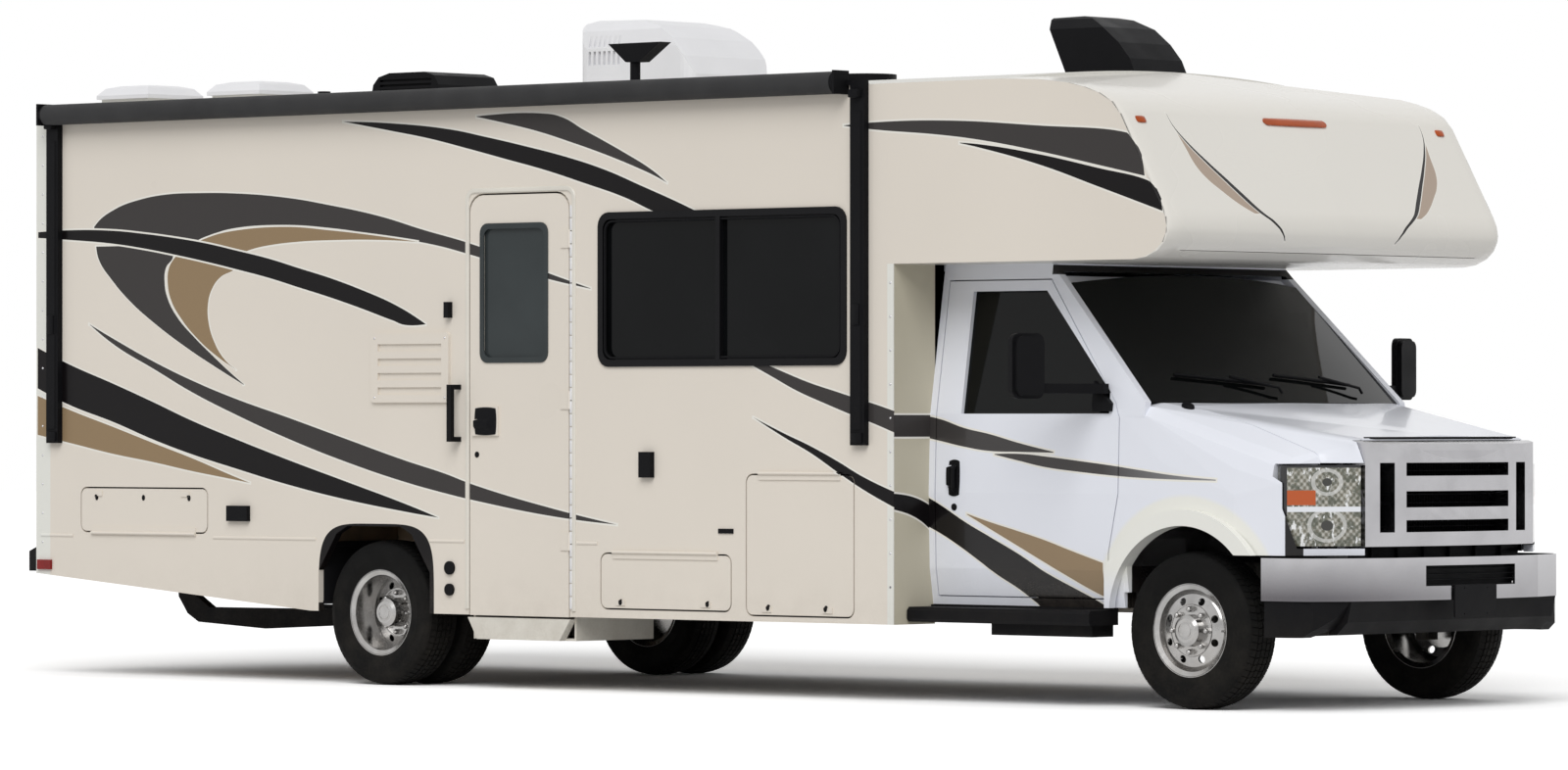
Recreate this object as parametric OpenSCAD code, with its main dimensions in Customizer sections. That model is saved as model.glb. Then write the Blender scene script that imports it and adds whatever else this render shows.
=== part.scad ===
// Motorhome on a van cutaway chassis.
// Millimetres, X forwards, Y to the left side, Z up, origin on the ground under the middle of the vehicle.
// Places along X that carry the prefix "f" in fx() are measured from the front axle, "r" in rx() from the rear axle.

/* [Chassis] */
// Distance between the axles
wheelbase = 5080; // [4200:10:6000]
// Front axle to the front of the bumper
front_overhang = 920; // [860:10:1000]
// Rear axle to the rear face of the rear bumper
rear_overhang = 2640; // [2400:10:2900]
// Width over the frame rails
frame_w = 860; // [800:10:900]
// Width of a frame rail's flange
rail_w = 60; // [50:1:70]
// Height of a frame rail
rail_h = 150; // [120:1:170]
// Height of the top of the frame rails above the ground
rail_top = 720; // [700:1:735]
// Thickness of the frame steel
rail_t = 8; // [6:1:12]

/* [Wheels] */
// Outer radius of a tyre
tyre_r = 368; // [350:1:380]
// Width of a tyre
tyre_w = 215; // [190:1:230]
// Radius of the rim's outer flange
rim_r = 226; // [215:1:232]
// Distance between the middles of the front tyres
front_track = 1763; // [1720:1:1800]
// Distance between the middles of the outer rear tyres
rear_track = 2247; // [2200:1:2260]
// Distance between the middles of twin tyres
twin_gap = 271; // [262:1:280]
// Middle of a front tyre in to its steering pivot
kingpin_inset = 81.5; // [70:0.5:95]
// Radius of the steering pivot pins
kingpin_r = 14; // [10:1:18]
// Radius of the front spindles
front_spindle_r = 24; // [20:1:30]
// Radius of the rear spindles
rear_spindle_r = 42; // [34:1:48]

/* [Coach body] */
// Width of the coach over its side walls
body_w = 2540; // [2400:10:2600]
// Thickness of the laminated walls
wall_t = 40; // [30:1:50]
// Rear axle to the rear face of the coach
coach_rear = 2540; // [2300:10:2700]
// Front axle back to the front wall of the coach
coach_front = 1574; // [1500:1:1650]
// Height of the skirt's lower edge
skirt_z = 371; // [330:1:420]
// Height of the skirt's lower edge at the rear corner
skirt_rear_z = 535; // [480:1:600]
// Height of the top edge of the side walls
wall_top_z = 2950; // [2850:1:3050]
// Rise of the roof's crown over its edges
roof_crown = 75; // [40:1:110]
// Thickness of the roof
roof_t = 60; // [40:1:80]
// Thickness of the floor
floor_t = 60; // [40:1:80]
// Height of the underside of the cab-over bunk
bunk_z = 2090; // [2050:1:2130]
// Thickness of the moulded nose
nose_t = 40; // [25:1:50]
// Forward bow of the nose at its middle
nose_bulge = 48; // [35:1:70]

/* [Openings in the coach] */
// Rear axle forwards to the entry door's rear edge
entry_x = 677; // [600:1:760]
// Width of the entry door's opening
entry_w = 701; // [620:1:760]
// Height of the top of the entry door's opening
entry_top_z = 2480; // [2380:1:2560]
// Entry door's opening forwards to the side window's rear edge
window_gap = 210; // [180:1:260]
// Height of the side windows
window_h = 734; // [600:1:800]
// Height of the lower edge of the side windows
window_z = 1622; // [1550:1:1700]
// Coach front wall back to the side window's front edge
window_x = 310; // [240:1:360]
// Width of the window frames' flange
window_flange = 34; // [20:1:45]
// Gap round every door and hatch
door_gap = 8; // [8:1:12]
// Thickness of the hatch doors
hatch_t = 25; // [18:1:32]

/* [Cab] */
// Width of the cab at its waist
cab_w = 2030; // [1960:1:2080]
// Front axle back to the cab door's front edge
cab_door_front = 406; // [396:1:420]
// Thickness of a cab door
cab_door_t = 60; // [45:1:75]
// Height of the cab floor
cab_floor_z = 740; // [725:1:760]
// Height of the sills' lower edge
sill_z = 465; // [440:1:500]
// Height of the waist line under the cab windows
waist_z = 1376; // [1340:1:1400]
// Height of the windscreen's lower edge
screen_z = 1430; // [1400:1:1450]
// Front axle back to the windscreen's lower edge
screen_x = 252; // [235:1:270]
// Angle of the windscreen from level
screen_rake = 45; // [42:1:48]
// Forward bow of the windscreen at its middle
screen_bow = 90; // [60:1:110]
// Radius of the front wheel arches
arch_r = 432; // [425:1:438]

/* [Hidden] */

right = -1;
left = 1;
seat_gap = 0.3;      // clearance where a moving or separate piece seats
pin_gap = 0.05;      // running clearance of pins and spindles
round_fn = 64;

front_axle_x = (wheelbase + rear_overhang + front_overhang) / 2 - front_overhang;
rear_axle_x = front_axle_x - wheelbase;
axle_z = tyre_r;
function fx(d) = front_axle_x + d;
function rx(d) = rear_axle_x + d;

side_y = body_w / 2;
inner_y = side_y - wall_t;
coach_rear_x = rx(-coach_rear);
coach_front_x = fx(-coach_front);
floor_under_z = rail_top + seat_gap;
floor_z = floor_under_z + floor_t;
cab_y = cab_w / 2;
front_wheel_y = front_track / 2;
kingpin_y = front_wheel_y - kingpin_inset;
rear_outer_y = rear_track / 2;
rear_inner_y = rear_outer_y - twin_gap;
rail_y = frame_w / 2 - rail_w;
rail_under = rail_top - rail_h;

window_front_x = coach_front_x - window_x;
entry_rear_x = rx(entry_x);
entry_front_x = entry_rear_x + entry_w;
window_rear_x = entry_front_x + window_gap;
entry_sill_z = skirt_z;

// Points of a rounded rectangle between two corners, six to each quarter.
function corner_arc(cx, cy, r, start) = [for (i = [0:5]) [cx + r * cos(start + i * 18), cy + r * sin(start + i * 18)]];
function round_rect(x0, y0, x1, y1, r) = concat(
    corner_arc(x1 - r, y1 - r, r, 0), corner_arc(x0 + r, y1 - r, r, 90),
    corner_arc(x0 + r, y0 + r, r, 180), corner_arc(x1 - r, y0 + r, r, 270));

// A flat shape in X and Z, made thick from y0 to y1.
module slab_y(y0, y1) {
    translate([0, y1, 0]) rotate([90, 0, 0]) linear_extrude(y1 - y0) children();
}

// A flat shape in Y and Z, made thick from x0 to x1.
module slab_x(x0, x1) {
    translate([x0, 0, 0]) rotate([90, 0, 90]) linear_extrude(x1 - x0) children();
}

// A block between two corners.
module block(a, b) {
    translate(a) cube(b - a);
}

// A cylinder along Y from y0 to y1.
module rod_y(x, z, r, y0, y1) {
    translate([x, y0, z]) rotate([-90, 0, 0]) cylinder(r = r, h = y1 - y0, $fn = round_fn);
}

// A cylinder along X from x0 to x1.
module rod_x(x0, x1, y, z, r) {
    translate([x0, y, z]) rotate([0, 90, 0]) cylinder(r = r, h = x1 - x0, $fn = round_fn);
}

// Its children on the named side: drawn for the right side, mirrored for the left.
module on_side(side) {
    if (side == right) children();
    else mirror([0, 1, 0]) children();
}

module both_sides() {
    on_side(right) children();
    on_side(left) children();
}

// Chassis

rail_front_x = fx(640);
rail_rear_x = coach_rear_x + 120;
crossmember_d = 60;
crossmembers = [fx(580), fx(-900), fx(-2200), rx(1500), rx(680), rx(-740), rx(-1700)];
body_mounts = [fx(480), fx(-620), fx(-1420)];
hitch_side = 64;
hitch_bore = 51;
hitch_z = 460;
hitch_pin_r = 8;
bumper_rear_x = rx(-rear_overhang);
bumper_rear_z0 = 545;
bumper_rear_z1 = 690;
bumper_arm_z = min(bumper_rear_z0, skirt_rear_z) - 28;
drop_x = rail_rear_x + 74;
drop_y = frame_w / 2 - rail_w / 2;
drop_half = 25;

module frame_rail() {
    difference() {
        block([rail_rear_x, -frame_w / 2, rail_under], [rail_front_x, -rail_y, rail_top]);
        block([rail_rear_x - 1, -frame_w / 2 + rail_t, rail_under + rail_t],
              [rail_front_x + 1, -rail_y + 1, rail_top - rail_t]);
    }
    for (x = body_mounts) {
        translate([x, -frame_w / 2 + rail_w / 2, rail_top - rail_t / 2])
            cylinder(r = 26, h = cab_floor_z - seat_gap - rail_top + rail_t / 2, $fn = 32);
    }
}

module hitch_receiver() {
    hitch_x0 = bumper_rear_x + 20;
    bar_half = drop_y - drop_half - seat_gap;
    difference() {
        union() {
            block([hitch_x0, -hitch_side / 2, hitch_z - hitch_side / 2], [hitch_x0 + 400, hitch_side / 2, hitch_z + hitch_side / 2]);
            block([drop_x + 26, -bar_half, hitch_z - 30], [drop_x + 86, bar_half, hitch_z + 30]);
        }
        block([hitch_x0 - 1, -hitch_bore / 2, hitch_z - hitch_bore / 2], [hitch_x0 + 250, hitch_bore / 2, hitch_z + hitch_bore / 2]);
        rod_y(hitch_x0 + 60, hitch_z, hitch_pin_r, -hitch_side, hitch_side);
    }
}

module rear_bumper() {
    slab_y(-inner_y, inner_y) polygon([
        [bumper_rear_x, bumper_rear_z0], [bumper_rear_x, bumper_rear_z1 - 40], [coach_rear_x - seat_gap, bumper_rear_z1],
        [coach_rear_x - seat_gap, bumper_rear_z0]]);
}

module chassis_frame() color("#1c1c1e") {
    both_sides() frame_rail();
    for (x = crossmembers) {
        block([x, -frame_w / 2 + rail_t + seat_gap, rail_under + 20], [x + crossmember_d, frame_w / 2 - rail_t - seat_gap, rail_top - 30]);
    }
    rear_bumper();
    for (s = [-1, 1]) {
        arm_y = s * drop_y;
        block([bumper_rear_x + 15, arm_y - drop_half, bumper_arm_z - 20], [drop_x - seat_gap, arm_y + drop_half, bumper_arm_z + 20]);
        block([bumper_rear_x + 15, arm_y - drop_half, bumper_arm_z], [bumper_rear_x + 60, arm_y + drop_half, bumper_rear_z0 - seat_gap]);
    }
    hitch_receiver();
    // Drop frames under the overhang, which carry the receiver and the bumper
    for (s = [-1, 1]) {
        slab_y(s * drop_y - drop_half, s * drop_y + drop_half) polygon([
            [drop_x, rail_under - seat_gap], [drop_x, bumper_arm_z - 27], [drop_x + 6, 400], [drop_x + 76, 310], [drop_x + 161, 265],
            [rx(-1671), 238], [rx(-1173), 262], [rx(-700), 285], [rx(-700), rail_under - seat_gap], [rx(-760), rail_under - seat_gap],
            [rx(-780), 365], [rx(-1173), 350], [drop_x + 246, 345], [drop_x + 116, 420], [drop_x + 96, rail_under - seat_gap]]);
    }
}

// Engine, as one block between the rails
engine_l = 760;
engine_w = 620;
engine_z0 = 500;
engine_z1 = 1150;
engine_x0 = fx(-330);

module engine_block() color("#55565a") {
    block([engine_x0, -engine_w / 2, engine_z0], [engine_x0 + engine_l, engine_w / 2, engine_z1]);
    for (s = [-1, 1]) {
        block([fx(-30), min(s * (engine_w / 2 - 1), s * (rail_y - seat_gap)), rail_top - 60],
              [fx(50), max(s * (engine_w / 2 - 1), s * (rail_y - seat_gap)), rail_top]);
    }
}

// Tanks, drive shaft and exhaust
shaft_r = 36;
gearbox_l = 640;
gearbox_top = rail_under + 16;
shaft_front = [engine_x0 - gearbox_l - seat_gap, gearbox_top - shaft_r - 12];
shaft_rear = [rx(210), axle_z + 20];
shaft_fall = atan2(shaft_front[1] - shaft_rear[1], shaft_front[0] - shaft_rear[0]);
exhaust_y = frame_w / 2 + 80;
exhaust_z = rail_under - 50;
module underbody() color("#232427") {
    // Gearbox and drive shaft
    block([engine_x0 - gearbox_l, -140, gearbox_top - 165], [engine_x0 - seat_gap, 140, gearbox_top]);
    translate([shaft_rear[0] + seat_gap + shaft_r * sin(shaft_fall), 0, shaft_rear[1]]) rotate([0, 90 - shaft_fall, 0])
        cylinder(r = shaft_r, h = norm(shaft_front - shaft_rear) - 2 * seat_gap - 2 * shaft_r * sin(shaft_fall), $fn = round_fn);
    // Waste tanks behind the axle, fuel tank ahead of it, both hung between the rails
    block([rx(-1630), -rail_y + seat_gap, 470], [rx(-760), rail_y - seat_gap, rail_top - 20]);
    block([rx(760), -rail_y + seat_gap, 430], [rx(1440), -70, rail_top - 20]);
    // Exhaust on the left side
    rod_x(rx(-1500), fx(-1900), exhaust_y, exhaust_z, 30);
    rod_x(rx(900), rx(1600), exhaust_y + 30, exhaust_z, 90);
    for (x = [rx(-1450), rx(-700), rx(1800), fx(-1980)]) {
        block([x, frame_w / 2 + seat_gap, exhaust_z - 10], [x + 30, exhaust_y, exhaust_z + 90]);
    }
}

// Front axle, knuckles and wheels

knuckle_eye_r = 34;
knuckle_eye_h = 110;
knuckle_lug_h = 26;
knuckle_lug_w = 44;
spindle_reach = front_wheel_y + 20 - kingpin_y;
beam_w = 60;
beam_h = 90;
spring_r = 62;
spring_y = 560;

module front_axle() color("#2a2b2e") {
    difference() {
        union() {
            block([fx(-beam_w / 2), -kingpin_y, axle_z - beam_h / 2], [fx(beam_w / 2), kingpin_y, axle_z + beam_h / 2]);
            for (s = [-1, 1]) {
                translate([fx(0), s * kingpin_y, axle_z - knuckle_eye_h / 2])
                    cylinder(r = knuckle_eye_r, h = knuckle_eye_h, $fn = round_fn);
            }
        }
        for (s = [-1, 1]) {
            translate([fx(0), s * kingpin_y, axle_z - knuckle_eye_h])
                cylinder(r = kingpin_r + pin_gap, h = 2 * knuckle_eye_h, $fn = round_fn);
        }
    }
    for (s = [-1, 1]) {
        translate([fx(0), s * spring_y * 0.9, axle_z]) cylinder(r = spring_r, h = 290, $fn = round_fn);
        block([fx(-60), s * spring_y * 0.9 - 70, axle_z + 290], [fx(60), s * spring_y * 0.9 + 70, axle_z + 310]);
        block([fx(-60), min(s * (frame_w / 2 + seat_gap), s * spring_y), axle_z + 200],
              [fx(60), max(s * (frame_w / 2 + seat_gap), s * spring_y), axle_z + 300]);
    }
}

module knuckle() {
    eye_top = axle_z + knuckle_eye_h / 2 + seat_gap;
    eye_low = axle_z - knuckle_eye_h / 2 - seat_gap;
    translate([fx(0), -kingpin_y, eye_low - knuckle_lug_h])
        cylinder(r = kingpin_r, h = knuckle_eye_h + 2 * knuckle_lug_h + 2 * seat_gap, $fn = round_fn);
    for (z = [eye_top, eye_low - knuckle_lug_h]) {
        translate([fx(0), -kingpin_y, z]) cylinder(r = knuckle_lug_w / 2 + 8, h = knuckle_lug_h, $fn = round_fn);
        block([fx(-knuckle_lug_w / 2), -kingpin_y - knuckle_eye_r - 30, z], [fx(knuckle_lug_w / 2), -kingpin_y, z + knuckle_lug_h]);
    }
    block([fx(-knuckle_lug_w), -kingpin_y - knuckle_eye_r - 34, eye_low - knuckle_lug_h],
          [fx(knuckle_lug_w), -kingpin_y - knuckle_eye_r - 10, eye_top + knuckle_lug_h]);
    rod_y(fx(0), axle_z, front_spindle_r, -kingpin_y - spindle_reach - 20, -kingpin_y - knuckle_eye_r - 20);
}

module knuckle_right() color("#3a3b3e") on_side(right) knuckle();
module knuckle_left() color("#3a3b3e") on_side(left) knuckle();

// Half section of a tyre: radius against distance from its middle.
bead_r = rim_r - 22;
bead_y = tyre_w / 2 - 30;
module tyre_section() {
    polygon(concat(
        [[bead_r, -bead_y], [rim_r + 4, -bead_y - 16], [tyre_r - 84, -tyre_w / 2], [tyre_r - 40, -tyre_w / 2 + 4]],
        [[tyre_r - 12, -tyre_w / 2 + 16], [tyre_r - 3, -tyre_w / 2 + 34], [tyre_r, -tyre_w / 2 + 70]],
        [[tyre_r, tyre_w / 2 - 70], [tyre_r - 3, tyre_w / 2 - 34], [tyre_r - 12, tyre_w / 2 - 16]],
        [[tyre_r - 40, tyre_w / 2 - 4], [tyre_r - 84, tyre_w / 2], [rim_r + 4, bead_y + 16], [bead_r, bead_y]]));
}

// A ring about the Y axis from a section of radius against Y.
module turned_y(x, y, z) {
    translate([x, y, z]) rotate([-90, 0, 0]) rotate_extrude($fn = round_fn) children();
}

module tyre(x, y) {
    turned_y(x, y, axle_z) tyre_section();
}

// A rim with its disc: dish is how far the disc stands outwards of the tyre's middle.
rim_lip = rim_r - 4;
rim_edge = [[bead_r - 12, bead_y + 8], [rim_lip - 6, bead_y + 21], [rim_lip, bead_y + 20],
    [rim_lip, bead_y + 2 * seat_gap + (rim_lip - bead_r) * 16 / 26], [bead_r - seat_gap, bead_y + 2 * seat_gap]];
module rim_barrel_section() {
    polygon(concat(rim_edge, [for (i = [len(rim_edge) - 1:-1:0]) [rim_edge[i][0], -rim_edge[i][1]]]));
}

module rim(x, y, out, bore_r, dish) {
    turned_y(x, y, axle_z) union() {
        rim_barrel_section();
        polygon([[bore_r, out * (dish - 8) - 8], [bead_r - 4, out * dish - 8], [bead_r - 4, out * dish + 8], [bore_r, out * (dish - 8) + 8]]);
        translate([bore_r, out * dish - 40]) square([30, 80]);
    }
}

front_dish = 45;
rear_dish = 60;
disc_r = 170;
hole_r = 18;
hub_cap_r = 76;

// A wheel's barrel with a pressed disc that has a ring of holes and a closed hub cap.
// The disc's seat is at seat from the tyre's middle; rise and cap are how far the disc and the cap stand out.
module faced_rim(x, y, side, bore_r, seat, rise, cap) {
    face = [[bead_r - 4, -6], [bead_r - 4, 6], [disc_r, rise + 6], [disc_r - 46, rise + 18], [hub_cap_r, rise + 18],
        [hub_cap_r - 4, rise + cap], [hub_cap_r - 20, rise + cap + 10], [0, rise + cap + 10], [0, rise + cap], [hub_cap_r - 24, rise + cap],
        [hub_cap_r - 14, rise + cap - 6], [hub_cap_r - 12, rise + 18], [bore_r, rise + 18], [bore_r, rise + 6], [disc_r - 48, rise + 6],
        [disc_r - 2, rise - 6]];
    difference() {
        turned_y(x, y, axle_z) union() {
            rim_barrel_section();
            polygon([for (p = face) [p[0], side * (seat + p[1])]]);
            translate([bore_r, side * (seat + rise / 2 - 14) - rise / 2 - 26]) square([26, rise + 52]);
        }
        for (i = [0:7]) {
            translate([x, y + side * (seat + rise), axle_z]) rotate([0, 22.5 + 45 * i, 0]) translate([disc_r - 26, 0, 0])
                rotate([90, 0, 0]) cylinder(r = hole_r, h = 70, center = true, $fn = 24);
        }
    }
}

module rim_front_right() color("#c9cbd0") faced_rim(fx(0), -front_wheel_y, right, front_spindle_r + pin_gap, front_dish, 22, 56);
module rim_front_left() color("#c9cbd0") faced_rim(fx(0), front_wheel_y, left, front_spindle_r + pin_gap, front_dish, 22, 56);
module tyre_front_right() color("#202124") tyre(fx(0), -front_wheel_y);
module tyre_front_left() color("#202124") tyre(fx(0), front_wheel_y);

module twin_rims(side) {
    faced_rim(rx(0), side * rear_outer_y, side, rear_spindle_r + pin_gap, -rear_dish, 10, 110);
    rim(rx(0), side * rear_inner_y, side, rear_spindle_r + pin_gap, rear_dish);
    turned_y(rx(0), side * (rear_outer_y + rear_inner_y) / 2, axle_z)
        translate([rear_spindle_r + pin_gap + 26, -twin_gap / 2 + rear_dish - 10]) square([12, twin_gap - 2 * rear_dish + 20]);
}

module rims_rear_right() color("#c9cbd0") twin_rims(right);
module rims_rear_left() color("#c9cbd0") twin_rims(left);
module tyres_rear_right() color("#202124") {
    tyre(rx(0), -rear_outer_y);
    tyre(rx(0), -rear_inner_y);
}
module tyres_rear_left() color("#202124") {
    tyre(rx(0), rear_outer_y);
    tyre(rx(0), rear_inner_y);
}

// Rear axle with its leaf springs
axle_tube_r = 52;
diff_r = 150;
spring_leaf_w = rail_w;
spring_leaf_t = 44;
spring_half = 640;

module leaf_spring(y) {
    eye_z = rail_under - seat_gap;
    seat_z = axle_z + axle_tube_r + seat_gap;
    slab_y(y - spring_leaf_w / 2, y + spring_leaf_w / 2) polygon([
        [rx(-spring_half), eye_z - 40], [rx(-spring_half), eye_z], [rx(-spring_half + 60), eye_z],
        [rx(-60), seat_z + spring_leaf_t], [rx(60), seat_z + spring_leaf_t],
        [rx(spring_half - 60), eye_z], [rx(spring_half), eye_z], [rx(spring_half), eye_z - 40],
        [rx(60), seat_z], [rx(-60), seat_z]]);
}

module rear_axle() color("#2a2b2e") {
    rod_y(rx(0), axle_z, axle_tube_r, -rear_inner_y + 110, rear_inner_y - 110);
    rod_y(rx(0), axle_z, rear_spindle_r, -rear_outer_y + 40, rear_outer_y - 40);
    rod_y(rx(0), axle_z, diff_r, -100, 100);
    rod_x(rx(100), shaft_rear[0], 0, shaft_rear[1], shaft_r + 10);
    for (s = [-1, 1]) {
        leaf_spring(s * (frame_w / 2 - rail_w / 2));
    }
}

// Coach

// Rear wheel arch as seen from the side
rear_arch_half = 400;
rear_arch_top = 807;
module rear_arch_shape() {
    polygon([[rx(-rear_arch_half), 0], [rx(-rear_arch_half), rear_arch_top - 230], [rx(-rear_arch_half + 130), rear_arch_top - 40],
             [rx(-rear_arch_half + 210), rear_arch_top], [rx(rear_arch_half - 210), rear_arch_top],
             [rx(rear_arch_half - 130), rear_arch_top - 40], [rx(rear_arch_half), rear_arch_top - 230], [rx(rear_arch_half), 0]]);
}

// Edge of the side panel at the nose, from the bunk's underside up to the roof
nose_edge = [[-110, 0], [-39, 10], [28, 38], [70, 76], [91, 118], [96, 150], [88, 195], [68, 240], [-22, 395],
    [-180, 677], [-232, 735], [-310, 777], [-400, 807], [-494, 829], [-674, 850]];
nose_scale = (wall_top_z - bunk_z) / 860;
function nose_edge_points(grow) = [for (p = nose_edge) [fx(p[0] + grow), bunk_z + p[1] * nose_scale]];

module side_panel_shape() {
    polygon(concat(
        [[coach_rear_x, skirt_rear_z], [rx(-rear_arch_half - 60), skirt_z], [coach_front_x, skirt_z], [coach_front_x, bunk_z]],
        nose_edge_points(0),
        [[fx(-900), wall_top_z], [coach_rear_x, wall_top_z]]));
}

function window_box() = [window_rear_x, window_z, window_front_x, window_z + window_h];
entry_corner_r = 90;
entry_window = [entry_rear_x + 100, 1652, entry_front_x - 170, 2310];

// Left side openings
rear_window = [rx(-1900), 1622, rx(-800), 2200];
galley_window = [rx(900), 1700, rx(2100), 2200];

// Hatches: rear x, lower z, front x, upper z of each opening
hatch_rear_box = [coach_rear_x + 347, 755, coach_rear_x + 1321, 995];
hatch_mid_box = [coach_front_x - 1922, 412, coach_front_x - 1043, 694];
hatch_front_box = [coach_front_x - 952, 396, coach_front_x - 247, 1087];
hatch_left_box = [coach_front_x - 1922, 412, coach_front_x - 1043, 694];
hatch_r = 45;

module opening_shape(b, r) {
    polygon(round_rect(b[0], b[1], b[2], b[3], r));
}

module entry_shape(in) {
    polygon(concat(
        corner_arc(entry_front_x - entry_corner_r - in, entry_top_z - entry_corner_r - in, entry_corner_r, 0),
        corner_arc(entry_rear_x + entry_corner_r + in, entry_top_z - entry_corner_r - in, entry_corner_r, 90),
        [[entry_rear_x + in, entry_sill_z - 10 + in], [entry_front_x - in, entry_sill_z - 10 + in]]));
}

module right_wall() color("#dcd8cc") {
    difference() {
        slab_y(-side_y, -inner_y) difference() {
            side_panel_shape();
            rear_arch_shape();
            entry_shape(0);
            opening_shape(window_box(), 60);
            opening_shape(hatch_rear_box, hatch_r);
            opening_shape(hatch_mid_box, hatch_r);
            opening_shape(hatch_front_box, hatch_r);
        }
    }
}

module left_wall() color("#dcd8cc") {
    slab_y(inner_y, side_y) difference() {
        side_panel_shape();
        rear_arch_shape();
        opening_shape(window_box(), 60);
        opening_shape(rear_window, 60);
        opening_shape(hatch_left_box, hatch_r);
    }
}

back_window = [-450, 1560, 450, 2060];
cab_opening_y = cab_y - 6;

module end_walls() color("#dcd8cc") {
    slab_x(coach_rear_x, coach_rear_x + wall_t) difference() {
        polygon([[-inner_y, skirt_rear_z], [inner_y, skirt_rear_z], [inner_y, wall_top_z], [-inner_y, wall_top_z]]);
        polygon(round_rect(back_window[0], back_window[1], back_window[2], back_window[3], 60));
    }
    for (s = [-1, 1]) {
        block([coach_front_x - wall_t, s > 0 ? cab_opening_y - 40 : -inner_y, skirt_z],
              [coach_front_x, s > 0 ? inner_y : -cab_opening_y + 40, bunk_z]);
    }
}

// Roof with a crown from side to side
roof_front_x = fx(-900);
roof_radius = (side_y * side_y + roof_crown * roof_crown) / (2 * roof_crown);
roof_top_z = wall_top_z + roof_crown;

function crown_z(y) = wall_top_z + roof_crown - roof_radius + sqrt(roof_radius * roof_radius - y * y);

module roof_section() {
    steps = 16;
    polygon(concat(
        [for (i = [0:steps]) let (y = side_y - 2 * side_y * i / steps) [y, crown_z(y) + 0.01]],
        [for (i = [0:steps]) let (y = -inner_y + 2 * inner_y * i / steps) [y, crown_z(y) - roof_t + 0.01]]));
}

vent_rear = [coach_rear_x + 375, -800];
vent_front = [coach_rear_x + 803, -400];
vent_side = 360;
vent_rise = 55;
roof_at_vent_rear = crown_z(vent_rear[1]);
roof_at_vent_front = crown_z(vent_front[1]);

module vent_frame(at, z) {
    translate([at[0], at[1], z]) difference() {
        translate([-vent_side / 2, -vent_side / 2, -40]) cube([vent_side, vent_side, 40 + vent_rise]);
        translate([-vent_side / 2 + 20, -vent_side / 2 + 20, -200]) cube([vent_side - 40, vent_side - 40, 400]);
    }
}

module vent_hole(at) {
    translate([at[0] - vent_side / 2 + 20, at[1] - vent_side / 2 + 20, wall_top_z - 200])
        cube([vent_side - 40, vent_side - 40, 400]);
}

module coach_roof() color("#e4e2da") {
    difference() {
        union() {
            slab_x(coach_rear_x, roof_front_x) roof_section();
            vent_frame(vent_rear, roof_at_vent_rear);
            vent_frame(vent_front, roof_at_vent_front);
        }
        vent_hole(vent_rear);
        vent_hole(vent_front);
        block([coach_rear_x - 1, -side_y - 1, 0], [roof_front_x + 1, -inner_y, wall_top_z]);
        block([coach_rear_x - 1, inner_y, 0], [roof_front_x + 1, side_y + 1, wall_top_z]);
        block([coach_rear_x - 1, -side_y, 0], [coach_rear_x + wall_t, side_y, wall_top_z]);
    }
}

lid_l = vent_side + 40;
lid_t = 72;

// A square lid with its sides sloped in to a flat top, hollow from below
module lid_form(half, top) {
    section = [[-half, 0], [half, 0], [half, 20], [half - 34, top - 14], [half - 90, top], [90 - half, top], [34 - half, top - 14], [-half, 20]];
    intersection() {
        slab_y(-half, half) polygon(section);
        slab_x(-half, half) polygon(section);
    }
}

module vent_lid(at, z) {
    translate([at[0], at[1], z + vent_rise + seat_gap]) difference() {
        lid_form(lid_l / 2, lid_t);
        intersection() {
            translate([0, 0, -10]) lid_form(lid_l / 2 - 12, lid_t);
            block([-lid_l, -lid_l, 6], [lid_l, lid_l, lid_l]);
        }
        // Inside of the flange that seats on the frame
        block([15 - vent_side / 2, 15 - vent_side / 2, -1], [vent_side / 2 - 15, vent_side / 2 - 15, 7]);
    }
}
module vent_lid_rear() color("#eceaf0") vent_lid(vent_rear, roof_at_vent_rear);
module vent_lid_front() color("#eceaf0") vent_lid(vent_front, roof_at_vent_front);

// Moulded nose over the cab, with the bunk's floor
module nose_slab(y, grow, drop) {
    slab_y(y - 0.5, y + 0.5) polygon(concat(
        [[fx(-900), bunk_z + drop]],
        [for (p = nose_edge_points(grow)) [p[0], max(p[1], bunk_z + drop)]],
        [[fx(-900), crown_z(y) - 0.01]]));
}

module nose_form(shrink) {
    hull() {
        for (s = [-1, 1]) {
            nose_slab(s * (side_y - 0.5 - shrink), nose_bulge * 0.25 - shrink, shrink);
            nose_slab(s * (side_y - 25 - shrink), nose_bulge * 0.5 - shrink, shrink);
            nose_slab(s * (side_y - 100 - shrink), nose_bulge * 0.72 - shrink, shrink);
        }
        nose_slab(0, nose_bulge - shrink, shrink);
    }
}

module front_cap() color("#dedad0") {
    difference() {
        nose_form(0);
        translate([0, 0, -nose_t]) intersection() {
            nose_form(nose_t);
            block([fx(-2000), -inner_y, bunk_z + 2 * nose_t], [fx(1000), inner_y, wall_top_z + 400]);
        }
        block([fx(-2000), -inner_y, bunk_z + nose_t], [fx(-899), inner_y, wall_top_z + 400]);
        slab_y(-side_y - 1, -inner_y) side_panel_shape();
        slab_y(inner_y, side_y + 1) side_panel_shape();
    }
    block([coach_front_x - wall_t, -inner_y, bunk_z], [fx(-900), inner_y, bunk_z + nose_t]);
}

// Floor with wheel boxes
wheel_box_top = 870;
wheel_box_half = 440;
wheel_box_y = 660;
locker_t = 8;
locker_deep = 520;
well_deep = 560;

module wheel_box(grow) {
    block([rx(-wheel_box_half - grow), -inner_y, floor_under_z], [rx(wheel_box_half + grow), -wheel_box_y + grow, wheel_box_top + grow]);
}

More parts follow.
